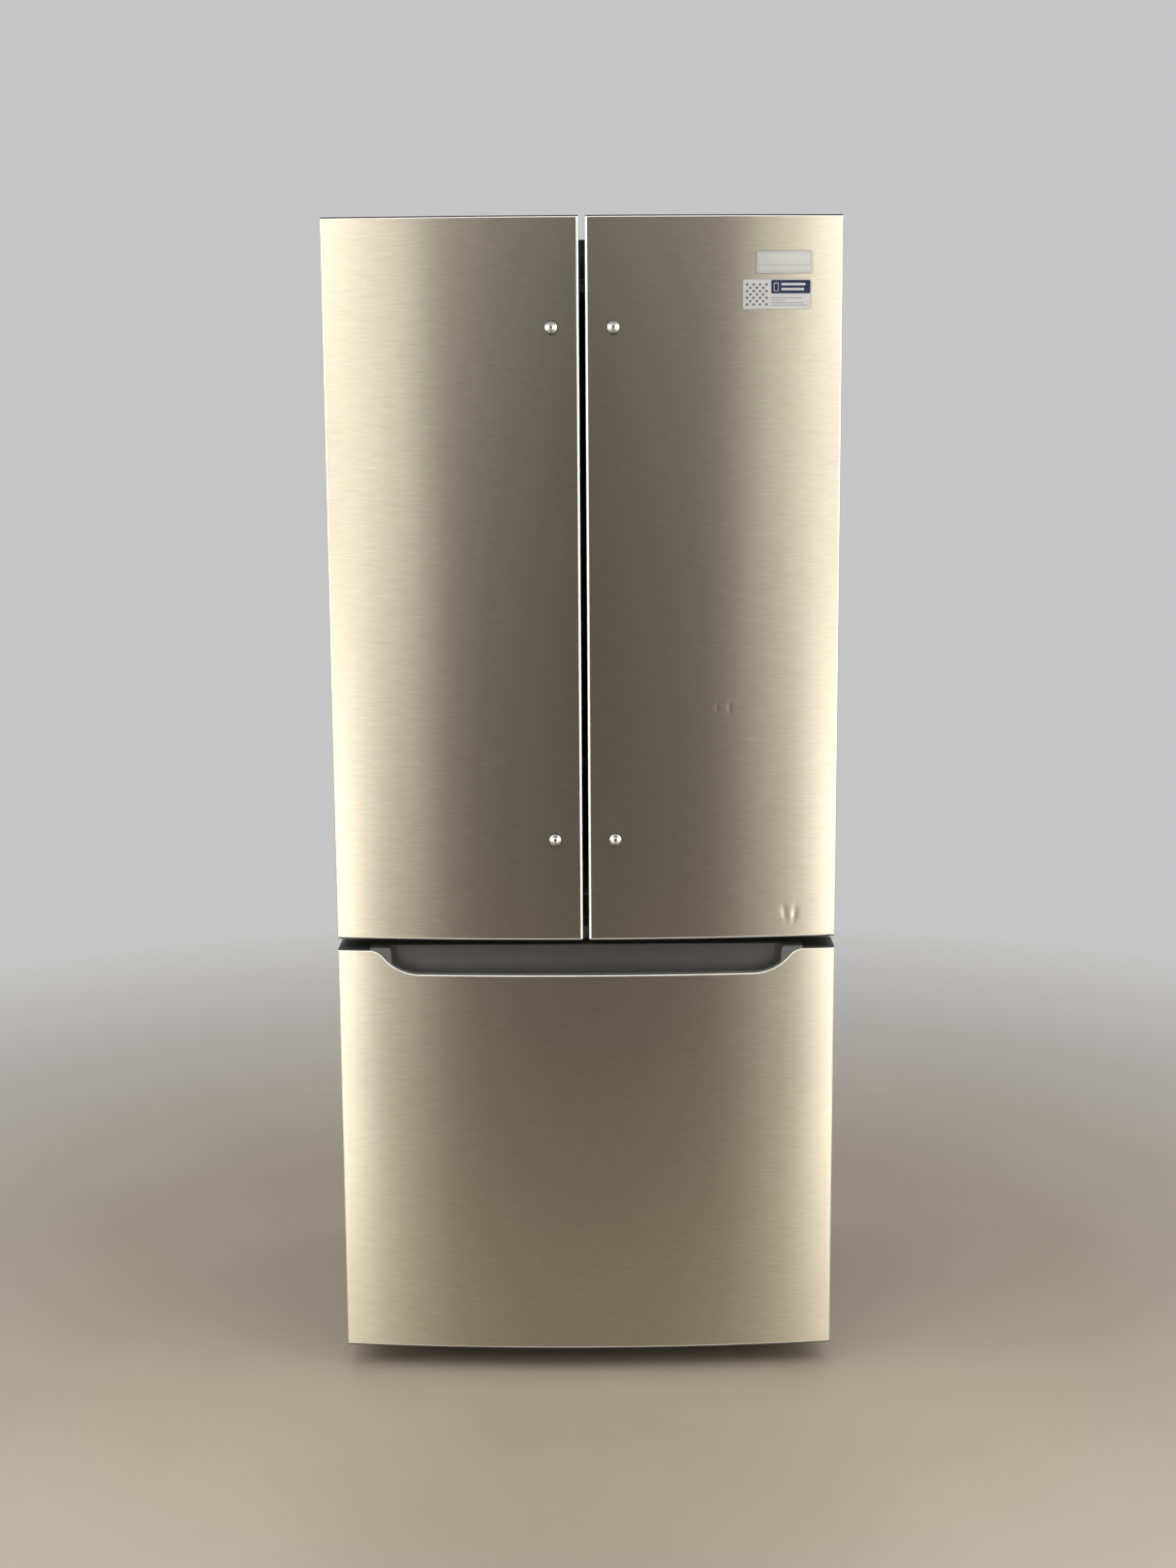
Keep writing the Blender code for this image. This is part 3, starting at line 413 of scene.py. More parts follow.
def ink(name, colour, sockets=None):
    """Printed paper or ink."""
    look = Look(name, colour, 0.45, 0.0, sockets)
    look.tint(look.noise(300.0), [c * 0.97 for c in colour], [min(1.0, c * 1.02) for c in colour])
    look.bump(look.noise(1500.0), 0.00002)
    return look.material


def make_looks():
    """Every material, by the name that pieces ask for it."""
    return {
        "steel": brushed_steel(),
        # edge: painted highlight for the steel's rolled edges and the doors' gap edge
        "edge": painted_highlight_edge(),
        "chrome": polished("chrome", (0.68, 0.68, 0.67), 0.09),
        "stud": polished("stud_chrome", (0.64, 0.64, 0.63), 0.27),
        "copper": polished("copper", (0.80, 0.42, 0.27), 0.28),
        "case": painted_metal("case_paint", (0.115, 0.116, 0.120), 0.42, 0.15),
        "zinc": galvanised(),
        "black": painted_metal("black_paint", (0.022, 0.022, 0.023), 0.38),
        "wheel": moulded("wheel_plastic", (0.030, 0.030, 0.031), 0.55),
        "fan": moulded("fan_plastic", (0.045, 0.045, 0.047), 0.50),
        "foam": foamed(),
        "liner": moulded("liner_plastic", (0.84, 0.85, 0.845), 0.38, 0.00001, 700.0, None, 0.012),
        "clear": see_through("clear_plastic", (0.93, 0.965, 0.975), 0.07, 1.49),
        "glass": see_through("shelf_glass", (0.86, 0.95, 0.92), 0.03, 1.52),
        "cap": moulded("cap_plastic", (0.030, 0.030, 0.031), 0.48),
        "trim": moulded("trim_plastic", (0.078, 0.079, 0.075), 0.36),
        "gasket": moulded("gasket_rubber", (0.050, 0.050, 0.051), 0.70),
        "rail": painted_metal("rail_paint", (0.145, 0.155, 0.145), 0.45, 0.1),
        "fins": ribbed_aluminium(),
        "plate": moulded("badge_plate", (0.95, 0.95, 0.945), 0.42, 0.00002, 700.0, {"Metallic": 0.8}, 0.02),
        "plate_line": polished("badge_line", (0.45, 0.445, 0.44), 0.40),
        "paper": ink("label_paper", (0.93, 0.935, 0.94), {"Metallic": 0.6}),
        # the grey and dark inks also serve as the painted shadow lines round the label and the badge
        "navy": ink("label_navy", (0.020, 0.034, 0.105)),
        "grey_ink_and_shadow": ink("label_grey_ink_and_shadow", (0.34, 0.35, 0.36)),
        "dark_ink_and_shadow": ink("label_dark_ink_and_shadow", (0.05, 0.052, 0.056)),
    }


# ---- mesh tools ----------------------------------------------------------------------------------
def grid(rows, wrap=False, ring=False, caps=()):
    """Faces between rows of points. Wrap closes each row, ring joins the last row to the first."""
    bm = bmesh.new()
    lines = [[bm.verts.new(p) for p in row] for row in rows]
    count = len(lines[0])
    pairs = list(zip(lines, lines[1:]))
    if ring:
        pairs.append((lines[-1], lines[0]))
    for near, far in pairs:
        for a in range(count if wrap else count - 1):
            b = (a + 1) % count
            bm.faces.new((near[a], near[b], far[b], far[a]))
    for end in caps:
        bm.faces.new(lines[end])
    return bm


def on_plane(points, axis, level):
    """2-D points on the plane that crosses the axis at a level."""
    if axis == "X":
        return [(level, u, v) for u, v in points]
    if axis == "Y":
        return [(u, level, v) for u, v in points]
    return [(u, v, level) for u, v in points]


def shrunk(span, inset):
    return span[0] + inset, span[1] - inset


def arc(centre, radius, start, end, steps):
    """Points on an arc, both ends included."""
    turns = [start + (end - start) * step / steps for step in range(steps + 1)]
    return [(centre[0] + radius * math.cos(a), centre[1] + radius * math.sin(a)) for a in turns]


def rounding(radius, degrees):
    """Steps round an edge: how far each lies in from the side, and how far back from the face."""
    turns = [math.radians(a) for a in degrees]
    return [(radius * (1 - math.cos(a)), radius * (1 - math.sin(a))) for a in turns]


def round_rect(us, vs, radius):
    """A rectangle with rounded corners, as far as they fit in it."""
    smallest, spare, steps = 0.0002, 1e-5, 6
    radius = max(smallest, min(radius, (us[1] - us[0]) / 2 - spare, (vs[1] - vs[0]) / 2 - spare))
    (u0, u1), (v0, v1) = shrunk(us, radius), shrunk(vs, radius)
    points = []
    for quarter, corner in enumerate(((u1, v1), (u0, v1), (u0, v0), (u1, v0))):
        points += arc(corner, radius, math.pi / 2 * quarter, math.pi / 2 * (quarter + 1), steps)
    return points


def rect_loft(axis, rows, ring=False, caps=(0, -1)):
    """A body through rounded rectangles, each given as (us, vs, radius, level)."""
    lines = [on_plane(round_rect(us, vs, radius), axis, level) for us, vs, radius, level in rows]
    return grid(lines, wrap=True, ring=ring, caps=() if ring else caps)


def lofted(axis, us, vs, radius, profile, ring=False):
    """A body of rounded rectangles. The profile lists (inset, level) along the axis."""
    rows = [(shrunk(us, inset), shrunk(vs, inset), radius - inset, level) for inset, level in profile]
    return rect_loft(axis, rows, ring)


def slab(axis, us, vs, levels, radius, edge):
    """A rounded plate with softened rims."""
    low, high = levels
    soft = edge * 0.3
    profile = [(edge, low), (soft, low + soft), (0, low + edge), (0, high - edge),
               (soft, high - soft), (edge, high)]
    return lofted(axis, us, vs, radius, profile)


def open_box(xs, ys, zs, wall, radius, draft, floor_radius):
    """A moulded tray: outside from its floor up, over a rounded rim, and down the inside."""
    low, high = zs
    r = floor_radius
    half = wall / 2
    profile = [(draft + r, low), (draft + r * 0.35, low + r * 0.3), (draft, low + r),
               (0, high - half), (half * 0.3, high - half * 0.3), (half, high),
               (wall - half * 0.3, high - half * 0.3), (wall, high - half),
               (wall + draft, low + wall + r), (wall + draft + r * 0.35, low + wall + r * 0.3),
               (wall + draft + r, low + wall)]
    return lofted("Z", xs, ys, radius, profile)


def turned(profile, centre, axis, steps=48):
    """A (radius, height) profile turned about an axis through centre."""
    rows = []
    for k in range(steps):
        angle = math.tau * k / steps
        row = []
        for radius, height in profile:
            u, v = radius * math.cos(angle), radius * math.sin(angle)
            spot = {"X": (height, u, v), "-Y": (u, -height, v), "Y": (u, height, v), "Z": (u, v, height)}
            row.append(Vector(centre) + Vector(spot[axis]))
        rows.append(row)
    bm = grid(rows, ring=True)
    bmesh.ops.remove_doubles(bm, verts=bm.verts[:], dist=1e-6)
    return bm


def box(xs, ys, zs):
    """A plain block, for cutting or for a hidden stretch of cap."""
    low = Vector((min(xs), min(ys), min(zs)))
    high = Vector((max(xs), max(ys), max(zs)))
    bm = bmesh.new()
    place = Matrix.Translation((low + high) / 2) @ Matrix.Diagonal((*(high - low), 1))
    bmesh.ops.create_cube(bm, size=1, matrix=place)
    return bm


def joined(*parts):
    """Several bodies in one mesh."""
    whole = bmesh.new()
    for part in parts:
        mesh = bpy.data.meshes.new("part")
        bmesh.ops.recalc_face_normals(part, faces=part.faces[:])
        part.to_mesh(mesh)
        part.free()
        whole.from_mesh(mesh)
        bpy.data.meshes.remove(mesh)
    return whole


def piece(name, bm, look, body, stands_for=(), closed=True, angle=32, bevel=0.0, sheet=0.0):
    """An object of the refrigerator: smooth where it is round, riding on its body."""
    if closed:
        bmesh.ops.recalc_face_normals(bm, faces=bm.faces[:])
    mesh = bpy.data.meshes.new(name)
    bm.to_mesh(mesh)
    bm.free()
    mesh.shade_smooth()
    mesh.set_sharp_from_angle(angle=math.radians(angle))
    mesh.materials.append(LOOKS[look])
    made = placed(name, mesh)
    if sheet:
        solid = made.modifiers.new("sheet", "SOLIDIFY")
        solid.thickness, solid.offset = sheet, -1
    if bevel:
        soften(made, bevel, 35)
    made.modifiers.new("even_shading", "WEIGHTED_NORMAL").keep_sharp = True
    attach(made, body)
    if stands_for:
        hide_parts(*stands_for)
    return made


def soften(made, width, angle):
    """Rounds the edges that are sharper than the angle."""
    edge = made.modifiers.new("soft_edges", "BEVEL")
    edge.width, edge.segments = width, 2
    edge.limit_method, edge.angle_limit = "ANGLE", math.radians(angle)


def carved(bm, *cutters):
    """The body with the cutters taken out."""
    made = []
    for source in (bm, *cutters):
        bmesh.ops.recalc_face_normals(source, faces=source.faces[:])
        mesh = bpy.data.meshes.new("carving")
        source.to_mesh(mesh)
        source.free()
        made.append(placed("carving", mesh))
    target = made[0]
    for cutter in made[1:]:
        cut = target.modifiers.new("cut", "BOOLEAN")
        cut.operation = "DIFFERENCE"
        cut.object = cutter
    bpy.context.view_layer.update()
    result = bmesh.new()
    result.from_object(target, bpy.context.evaluated_depsgraph_get())
    for obj in made:
        mesh = obj.data
        bpy.data.objects.remove(obj)
        bpy.data.meshes.remove(mesh)
    return result


# ---- bowed steel fronts --------------------------------------------------------------------------
def corner_arc(edge_x, inward, inset):
    """The vertical edge in plan, from the side face to the front. Inward is 1 at a left edge."""
    centre_x = edge_x + inward * CORNER
    slope = 2 * BOW * centre_x / HALF_WIDTH ** 2
    end = math.atan2(-1, slope) % math.tau
    start = math.pi if inward > 0 else math.tau
    centre_y = front_y(centre_x + CORNER * math.cos(end)) - CORNER * math.sin(end)
    return arc((centre_x, centre_y), CORNER - inset, start, end, 7)


def spaced(low, high, pitch, fine=()):
    """Even stops from low to high, with closer ones round each (centre, reach, step)."""
    count = max(1, round((high - low) / pitch))
    stops = [low + (high - low) * k / count for k in range(count + 1)]
    for centre, reach, step in fine:
        number = round(2 * reach / step)
        stops += [centre - reach + step * k for k in range(number + 1)]
    tidy = []
    for stop in sorted(s for s in stops if low <= s <= high):
        if not tidy or stop - tidy[-1] > 0.0004:
            tidy.append(stop)
    tidy[-1] = high
    return tidy


def plan_line(left, right, inset, xs):
    """Plan of a bowed front, from its back left edge round to its back right edge."""
    start, end = corner_arc(left, 1, inset), corner_arc(right, -1, inset)[::-1]
    middle = [(x, front_y(x) + inset) for x in xs if start[-1][0] + 0.001 < x < end[0][0] - 0.001]
    stops = (DOOR_BACK_Y, SIDE_STOP_Y, NOTCH["y"])
    near = [(left + inset, y) for y in stops]
    far = [(right - inset, y) for y in reversed(stops)]
    return near + start + middle + end + far


def level_edge(z):
    """A straight top edge: its height and slope at any x."""
    return lambda x: (z, 0.0)


def pocket_edge(x):
    """The drawer's top edge, lowered over the finger pocket: its height and slope at x."""
    rise = DRAWER_Z[1] - POCKET_FLAT_Z
    reach = POCKET_X[1] - POCKET_X[0]
    steep = 2 * math.atan(rise / reach)
    inner = reach / math.sin(steep) - POCKET_OUTER
    out = POCKET_X[1] - abs(x)
    if out <= 0:
        return DRAWER_Z[1], 0.0
    if out >= reach:
        return POCKET_FLAT_Z, 0.0
    if out < POCKET_OUTER * math.sin(steep):
        side = math.sqrt(POCKET_OUTER ** 2 - out ** 2)
        return DRAWER_Z[1] - POCKET_OUTER + side, math.copysign(out / side, x)
    side = math.sqrt(inner ** 2 - (reach - out) ** 2)
    return POCKET_FLAT_Z + inner - side, math.copysign((reach - out) / side, x)


def pressed_in(dents, x, z):
    """How far small knocks push the sheet in at a point."""
    depth = 0.0
    for dent in dents:
        across = ((x - dent["x"] - dent["lean"] * (z - dent["z"])) / dent["wide"]) ** 2
        along = ((z - dent["z"]) / dent["tall"]) ** 2
        depth += dent["deep"] * math.exp(-across - along)
    return depth


def steel_front(left, right, low, top, dents, cut_side=0):
    """A bowed sheet with rounded vertical edges and folded top and bottom edges."""
    fine_x = [(d["x"], 4 * d["wide"], d["wide"] / 3) for d in dents]
    fine_z = [(d["z"], 3.2 * d["tall"], d["tall"] / 3) for d in dents]
    if top is pocket_edge:
        fine_x += [(side * sum(POCKET_X) / 2, CURVE_REACH, 0.0022) for side, _ in SIDES]
    if cut_side:
        fine_z.append((NOTCH["z"], 0.0, 1.0))
    xs = spaced(left, right, 0.010, fine_x)
    base, high_z = low + FOLD, top(left)[0] - FOLD
    fold = rounding(FOLD, (90, 68, 45, 22))

    def bent(part, value, x, y, inset):
        """A point of the sheet on its bottom fold, its top fold, or a share of the way up between them."""
        edge_z, slope = top(x)
        length = math.hypot(1, slope)
        if part == "low":
            return x, y, low + value
        if part == "high":
            shifted = x + slope / length * value
            return shifted, front_y(shifted) + inset if slope else y, edge_z - value / length
        drift = slope / length * FOLD * value ** 12
        z = base + (edge_z - FOLD / length - base) * value
        if y < CURVED_Y and abs(x - left) > CORNER and abs(x - right) > CORNER:
            y = front_y(x + drift) + pressed_in(dents, x, z)
        return x + drift, y, z

    rows = [("low", back, inset) for inset, back in fold]
    rows += [("mid", (z - base) / (high_z - base), 0.0) for z in spaced(base, high_z, 0.050, fine_z)]
    rows += [("high", back, inset) for inset, back in reversed(fold)]
    bm = grid([[bent(part, value, x, y, inset) for x, y in plan_line(left, right, inset, xs)]
               for part, value, inset in rows])
    if cut_side:
        doomed = []
        for face in bm.faces:
            spot = face.calc_center_median()
            if spot.y > NOTCH["y"] and spot.z > NOTCH["z"] - 1e-5 and spot.x * cut_side > NOTCH["x"]:
                doomed.append(face)
        bmesh.ops.delete(bm, geom=doomed, context="FACES")
    return bm


def paint_edge_highlights(bm, low, top, gap_x):
    """Gives the rolled top and bottom edges, and the one beside the doors' gap, the second material: a
    painted highlight.
    """
    for face in bm.faces:
        spot = face.calc_center_median()
        edge_z, slope = top(spot.x)
        rolled = spot.z < low + FOLD or spot.z > edge_z - FOLD * math.hypot(1, slope)
        beside_gap = abs(spot.x - gap_x) < CORNER and spot.y < front_y(gap_x) + CORNER * 0.8
        if rolled or beside_gap:
            face.material_index = 1


def knock(x, z, deep, wide, tall, lean=0.0):
    return {"x": x, "z": z, "deep": deep, "wide": wide, "tall": tall, "lean": lean}


DENTS = {
    -1: [],
    1: [knock(0.318, 0.770, 0.00022, 0.0045, 0.012, -0.15), knock(0.334, 0.768, 0.00022, 0.0045, 0.012, 0.1),
        knock(0.208, 1.104, 0.00012, 0.0030, 0.008), knock(0.228, 1.104, 0.00012, 0.0030, 0.008)],
    0: [knock(0.006, 0.657, 0.0002, 0.0030, 0.003), knock(0.013, 0.272, 0.0002, 0.0030, 0.004),
        knock(0.062, 0.165, 0.0002, 0.0050, 0.012, 0.3)],
}


def plan_prism(left, right, inset, levels):
    """A solid slice of the door's plan."""
    line = plan_line(left, right, inset, spaced(left, right, 0.012))
    return grid([[(x, y, z) for x, y in line] for z in levels], wrap=True, caps=(0, -1))


def notch_cutter(side):
    return box(sided(side, (NOTCH["x"], 0.42)), (NOTCH["y"], -0.25), (NOTCH["z"], 1.90))


def end_cap(name, body, left, right, edge_z, outward, node_z, deep, slot_side=0):
    """Dark moulded cap over the end of a door, tucked into the steel's fold."""
    plate = sorted((edge_z + outward * CAP_GAP, node_z))
    plug = sorted((edge_z - outward * deep, edge_z + outward * (CAP_GAP + 0.0001)))
    parts = [plan_prism(left, right, CAP_INSET, plate), plan_prism(left, right, SKIN_DEPTH, plug)]
    if slot_side:
        parts = [carved(part, notch_cutter(slot_side)) for part in parts]
    return piece(name, joined(*parts), "cap", body, bevel=CAP_EDGE)


def strip(xs, zs, radius, lift, thick):
    """A thin rounded sheet lying on the bowed front."""
    rows = []
    for x in spaced(*xs, 0.003, [(end, radius, radius / 6) for end in xs]):
        reach = max(0.0, radius - min(x - xs[0], xs[1] - x))
        cut = radius - math.sqrt(max(0.0, radius ** 2 - reach ** 2))
        low, high = shrunk(zs, cut)
        rows.append([(x, front_y(x) - lift, low + (high - low) * k / 4) for k in range(5)])
    bm = grid(rows)
    bmesh.ops.solidify(bm, geom=bm.faces[:], thickness=thick)
    return bm


def bands(areas, lift, thick):
    """Thin printed or pressed bands, each given as (xs, zs)."""
    return joined(*[strip(xs, zs, 0.0004, lift, thick) for xs, zs in areas])


def badge():
    """A blank metal plate with thin border lines on the right door, over a slightly larger dark strip that
    is a painted shadow line round it.
    """
    xs, zs, rim, line = (0.2666, 0.3528), (1.7724, 1.8055), 0.0006, 0.0005
    body = "right_door"
    # dark strip just beyond the plate: painted shadow line round the badge
    piece("badge_painted_shadow", strip(shrunk(xs, -rim), shrunk(zs, -rim), 0.0037, 0.0004, 0.0004), "dark_ink_and_shadow", body)
    piece("badge_plate", strip(xs, zs, 0.0032, 0.0011, 0.0010), "plate", body)
    across, up = shrunk(xs, 0.0026), shrunk(zs, 0.0026)
    split = zs[0] + (zs[1] - zs[0]) * 0.36
    lines = [(across, (z, z + line)) for z in (up[0], up[1] - line, split)]
    lines += [((x, x + line), up) for x in (across[0], across[1] - line)]
    piece("badge_lines", bands(lines, 0.00125, 0.00015), "plate_line", body)


def label():
    """A small sticker under the badge: a block of dots, a dark band and a few bars, over a slightly larger
    grey strip that is a painted shadow line round it.
    """
    xs, zs, rim = (0.2460, 0.3510), (1.7186, 1.7630), 0.0005
    body = "right_door"
    left, right = xs
    low, high = zs
    # grey strip just beyond the sheet: painted shadow line round the label
    piece("label_painted_shadow", strip(shrunk(xs, -rim), shrunk(zs, -rim), 0.0032, 0.0002, 0.0002), "grey_ink_and_shadow", body)
    piece("label_sheet", strip(xs, zs, 0.0028, 0.0004, 0.0003), "paper", body)
    band = strip((left + 0.0435, right - 0.0012), (high - 0.0212, high - 0.0010), 0.0014, 0.00055, 0.00012)
    piece("label_band", band, "navy", body)
    pitch, count, dot, lift = 0.0050, 7, 0.0031, 0.00052
    quads = []
    for row in range(count):
        for column in range(row % 2, count, 2):
            x, z = left + 0.0048 + pitch * column, low + 0.0052 + pitch * row
            quads.append(grid([[(u, front_y(u) - lift, v) for v in (z, z + dot)] for u in (x, x + dot)]))
    pattern = joined(*quads)
    bmesh.ops.solidify(pattern, geom=pattern.faces[:], thickness=0.0001)
    piece("label_dots", pattern, "dark_ink_and_shadow", body)
    icon = left + 0.0475
    tall, whole = (high - 0.0178, high - 0.0052), (icon, icon + 0.0073)
    marks = [((icon, icon + 0.0008), tall), ((icon + 0.0065, icon + 0.0073), tall),
             (whole, (high - 0.0060, high - 0.0052)), (whole, (high - 0.0178, high - 0.0170)),
             ((icon + 0.0115, right - 0.0090), (high - 0.0090, high - 0.0055)),
             ((icon + 0.0115, right - 0.0110), (high - 0.0165, high - 0.0130))]
    piece("label_band_marks", bands(marks, 0.00070, 0.0001), "paper", body)
    bars = ((0.0160, 0.014), (0.0125, 0.040), (0.0085, 0.012), (0.0050, 0.006))
    text = [((left + 0.0435, right - end), (low + up, low + up + 0.0009)) for up, end in bars]
    piece("label_bars", bands(text, 0.00055, 0.0001), "grey_ink_and_shadow", body)


STUD_RISE = 0.0095  # from the steel to the crown
STUD_PROFILE = [
    (0.0, -0.0005), (0.0090, -0.0005), (0.0092, 0.0002), (0.0092, 0.0016), (0.0089, 0.0023),
    (0.0083, 0.0026), (0.0079, 0.0030), (0.0078, 0.0036), (0.0076, 0.0050), (0.0071, 0.0064),
    (0.0062, 0.0077), (0.0051, 0.0087), (0.0040, 0.0093), (0.0032, STUD_RISE), (0.0028, 0.0093),
    (0.0025, 0.0084), (0.0023, 0.0072), (0.0, 0.0070),
]
# dark ring round the stud's foot: painted shadow and dark reflection outlining the dome
DARK_RING_PAINTED_SHADE = [(0.0088, -0.0004), (0.0103, -0.0004), (0.0106, 0.0), (0.0103, 0.0005), (0.0088, 0.0005)]


def stud(word, place):
    """Chrome stud that a bar handle fits over, with a driver socket in its crown, and a dark ring round its
    foot that is a painted shadow and dark reflection.
    """
    node, body = f"{word}_handle_stud_{place}", f"{word}_door"
    low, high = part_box(node)
    centre = ((low.x + high.x) / 2, low.y + STUD_RISE, (low.z + high.z) / 2)
    piece(f"{node}_dome", turned(STUD_PROFILE, centre, "-Y"), "stud", body, (node,))
    # dark ring: painted shade outline round the dome
    piece(f"{node}_painted_shade_ring", turned(DARK_RING_PAINTED_SHADE, centre, "-Y"), "cap", body)


def steel_sheet(name, node, body, span, low, top, dents, gap_x, cut_side=0):
    """One steel front, with a painted highlight on its rolled edges and on the edge beside the doors' gap.
    """
    steel = steel_front(*span, low, top, dents, cut_side)
    paint_edge_highlights(steel, low, top, gap_x)
    made = piece(name, steel, "steel", body, (node,), closed=False, sheet=SHEET)
    # second material: near-white painted highlight on the rolled edges
    made.data.materials.append(LOOKS["edge"])


def door_front(side, word):
    """Steel, caps and handle studs of one door."""
    body, node, panel = f"{word}_door", f"{word}_door_skin", f"{word}_door_panel"
    span = sided(side, (GAP_X, HALF_WIDTH))
    low, high = DOOR_Z
    steel_sheet(f"{node}_sheet", node, body, span, low, level_edge(high), DENTS[side], side * GAP_X, side)
    to_lining = high - NOTCH["z"] + 0.002
    end_cap(f"{word}_door_cap_top", body, *span, high, 1, at(panel, 1, "Z"), to_lining, side)
    end_cap(f"{word}_door_cap_bottom", body, *span, low, -1, at(panel, 0, "Z"), CAP_DEPTH)
    for place in ("upper", "lower"):
        stud(word, place)


def pocket_trim():
    """Moulded finger pocket in the drawer's top edge, lofted from end to end."""
    low, top = TRIM_Z
    soft, fillet, turn = 0.0011, 0.005, 0.0035

    def profile(x, solid):
        """Section at x. Solid is 0 across the cavity and 1 where the end block is full."""
        face = front_y(x) + SKIN_DEPTH
        rim = min(top, pocket_edge(x)[0] + RIM)
        rim += (top - rim) * solid
        floor = CAVITY_FLOOR_Z + (top - CAVITY_FLOOR_Z) * solid
        inner = face + LIP
        back = CAVITY_BACK_Y
        bend = fillet * (1 - solid)
        drop = soft * (1 - solid)
        return [
            (face, low), (face, rim - soft), (face + soft * 0.3, rim - soft * 0.3), (face + soft, rim),
            (inner - soft, rim), (inner - soft * 0.3, rim - drop * 0.3), (inner, rim - drop),
            (inner, floor + bend), (inner + bend * 0.3, floor + bend * 0.3), (inner + bend, floor),
            (back - bend, floor), (back - bend * 0.3, floor + bend * 0.3), (back, floor + bend),
            (back, top - drop), (back + soft * 0.3, top - drop * 0.3), (back + soft, top),
            (TRIM_Y, top), (TRIM_Y, low),
        ]

    fine = [(side * (CAVITY_X - turn / 2), turn / 2, turn / 8) for side, _ in SIDES]
    fine += [(side * sum(POCKET_X) / 2, CURVE_REACH, 0.0025) for side, _ in SIDES]
    xs = spaced(-TRIM_X, TRIM_X, 0.012, fine)
    rows = []
    for x in xs:
        share = min(1.0, max(0.0, (abs(x) - (CAVITY_X - turn)) / turn))
        solid = math.sqrt(1 - (1 - share) ** 2)
        rows.append([(x, y, z) for y, z in profile(x, solid)])
    trim = grid(rows, wrap=True, caps=(0, -1))
    piece("drawer_pocket_trim", trim, "trim", "drawer", ("drawer_handle_trim",), angle=40)


def drawer_front():
    """Steel, caps and finger pocket of the drawer."""
    span = (-HALF_WIDTH, HALF_WIDTH)
    low, high = DRAWER_Z
    steel_sheet("drawer_skin_sheet", "drawer_skin", "drawer", span, low, pocket_edge, DENTS[0], math.inf)
    end_cap("drawer_cap_bottom", "drawer", *span, low, -1, at("drawer_panel", 0, "Z"), CAP_DEPTH)
    top_z = at("drawer_panel", 1, "Z")
    for side, word in SIDES:
        plate = plan_cap(side, high + CAP_GAP - 0.0125, top_z)
        piece(f"drawer_cap_top_{word}", plate, "cap", "drawer", bevel=CAP_EDGE)
    room = TRIM_X + FIT
    rear = box((-room, room), (TRIM_Y + FIT, DOOR_BACK_Y), (high - 0.012, top_z))
    piece("drawer_cap_top_rear", rear, "cap", "drawer", bevel=CAP_EDGE)
    pocket_trim()


def plan_cap(side, low, high):
    """One end of the drawer's top cap, beside the pocket trim."""
    inner = TRIM_X + FIT
    line = [(inner, DOOR_BACK_Y), (inner, front_y(inner) + SKIN_DEPTH)]
    line += [(x, front_y(x) + CAP_INSET) for x in spaced(inner + 0.001, HALF_WIDTH - CORNER, 0.01)]
    line += corner_arc(HALF_WIDTH, -1, CAP_INSET)[::-1] + [(HALF_WIDTH - CAP_INSET, DOOR_BACK_Y)]
    return grid([[(side * x, y, z) for x, y in line] for z in (low, high)], wrap=True, caps=(0, -1))


# ---- cabinet -------------------------------------------------------------------------------------
def wrapper():
    """Painted steel case: one bent sheet over both sides and the top, with a turned-in front flange."""
    bend, lip = 0.006, 0.0018
    flange_x, flange_z = 0.020, 0.022
    low, high = CASE_Z

    def arch(dx, dz, y):
        radius = max(0.001, bend - dx)
        x, z = CASE_X - dx, high - dz
        line = [(-x, low)]
        for cx, start in ((radius - x, math.pi), (x - radius, math.pi / 2)):
            line += arc((cx, z - radius), radius, start, start - math.pi / 2, 6)
        return [(u, y, v) for u, v in line + [(x, low)]]

    front, back = CASE_Y
    rows = [arch(flange_x, flange_z, front)]
    rows += [arch(inset, inset, front + away) for inset, away in rounding(lip, (90, 60, 30, 0))]
    rows += [arch(0, 0, front + 0.02), arch(0, 0, back - 0.002), arch(0.0006, 0.0006, back)]
    returns = [slab("Y", sided(side, (0.3725, 0.3962)), (0.0310, 0.2608), (0.3430, 0.3446), 0.0006, 0.0003)
               for side, _ in SIDES]
    piece("cabinet_rear_returns", joined(*returns), "case", "cabinet")
    piece("cabinet_wrapper", grid(rows), "case", "cabinet", ("cabinet_case",), closed=False, sheet=0.0012)


def compartment(name, node, opening, back, stops):
    """A moulded liner: rounded mouth, drafted walls and rounded back, and the painted steel round it."""
    flange_x, flange_z = spans(node)[0], spans(node)[2]
    front = at(node, 0, "Y") + 0.0002
    xs, (_, high) = opening
    flare, corner, round_back = 0.0035, 0.022, 0.014
    rows = [(flange_x, flange_z, 0.012, front)]
    for out, away in rounding(flare, (90, 60, 30, 0)):
        rows.append((shrunk(xs, -out), shrunk(opening[1], -out), corner + out, front + away))
    rows += [(xs, (low, high), corner, y) for low, y in stops]
    low = stops[-1][0]
    for inset, away in rounding(round_back, (30, 60, 90)):
        rows.append((shrunk(xs, inset), shrunk((low, high), inset), corner - inset * 0.5, back - away))
    bm = rect_loft("Y", rows, caps=(-1,))
    for face in bm.faces:
        if max(v.co.y for v in face.verts) < front + 0.0001:
            face.material_index = 1
    made = piece(name, bm, "liner", "cabinet", (node,), closed=False, sheet=0.0016)
    made.data.materials.append(LOOKS["case"])


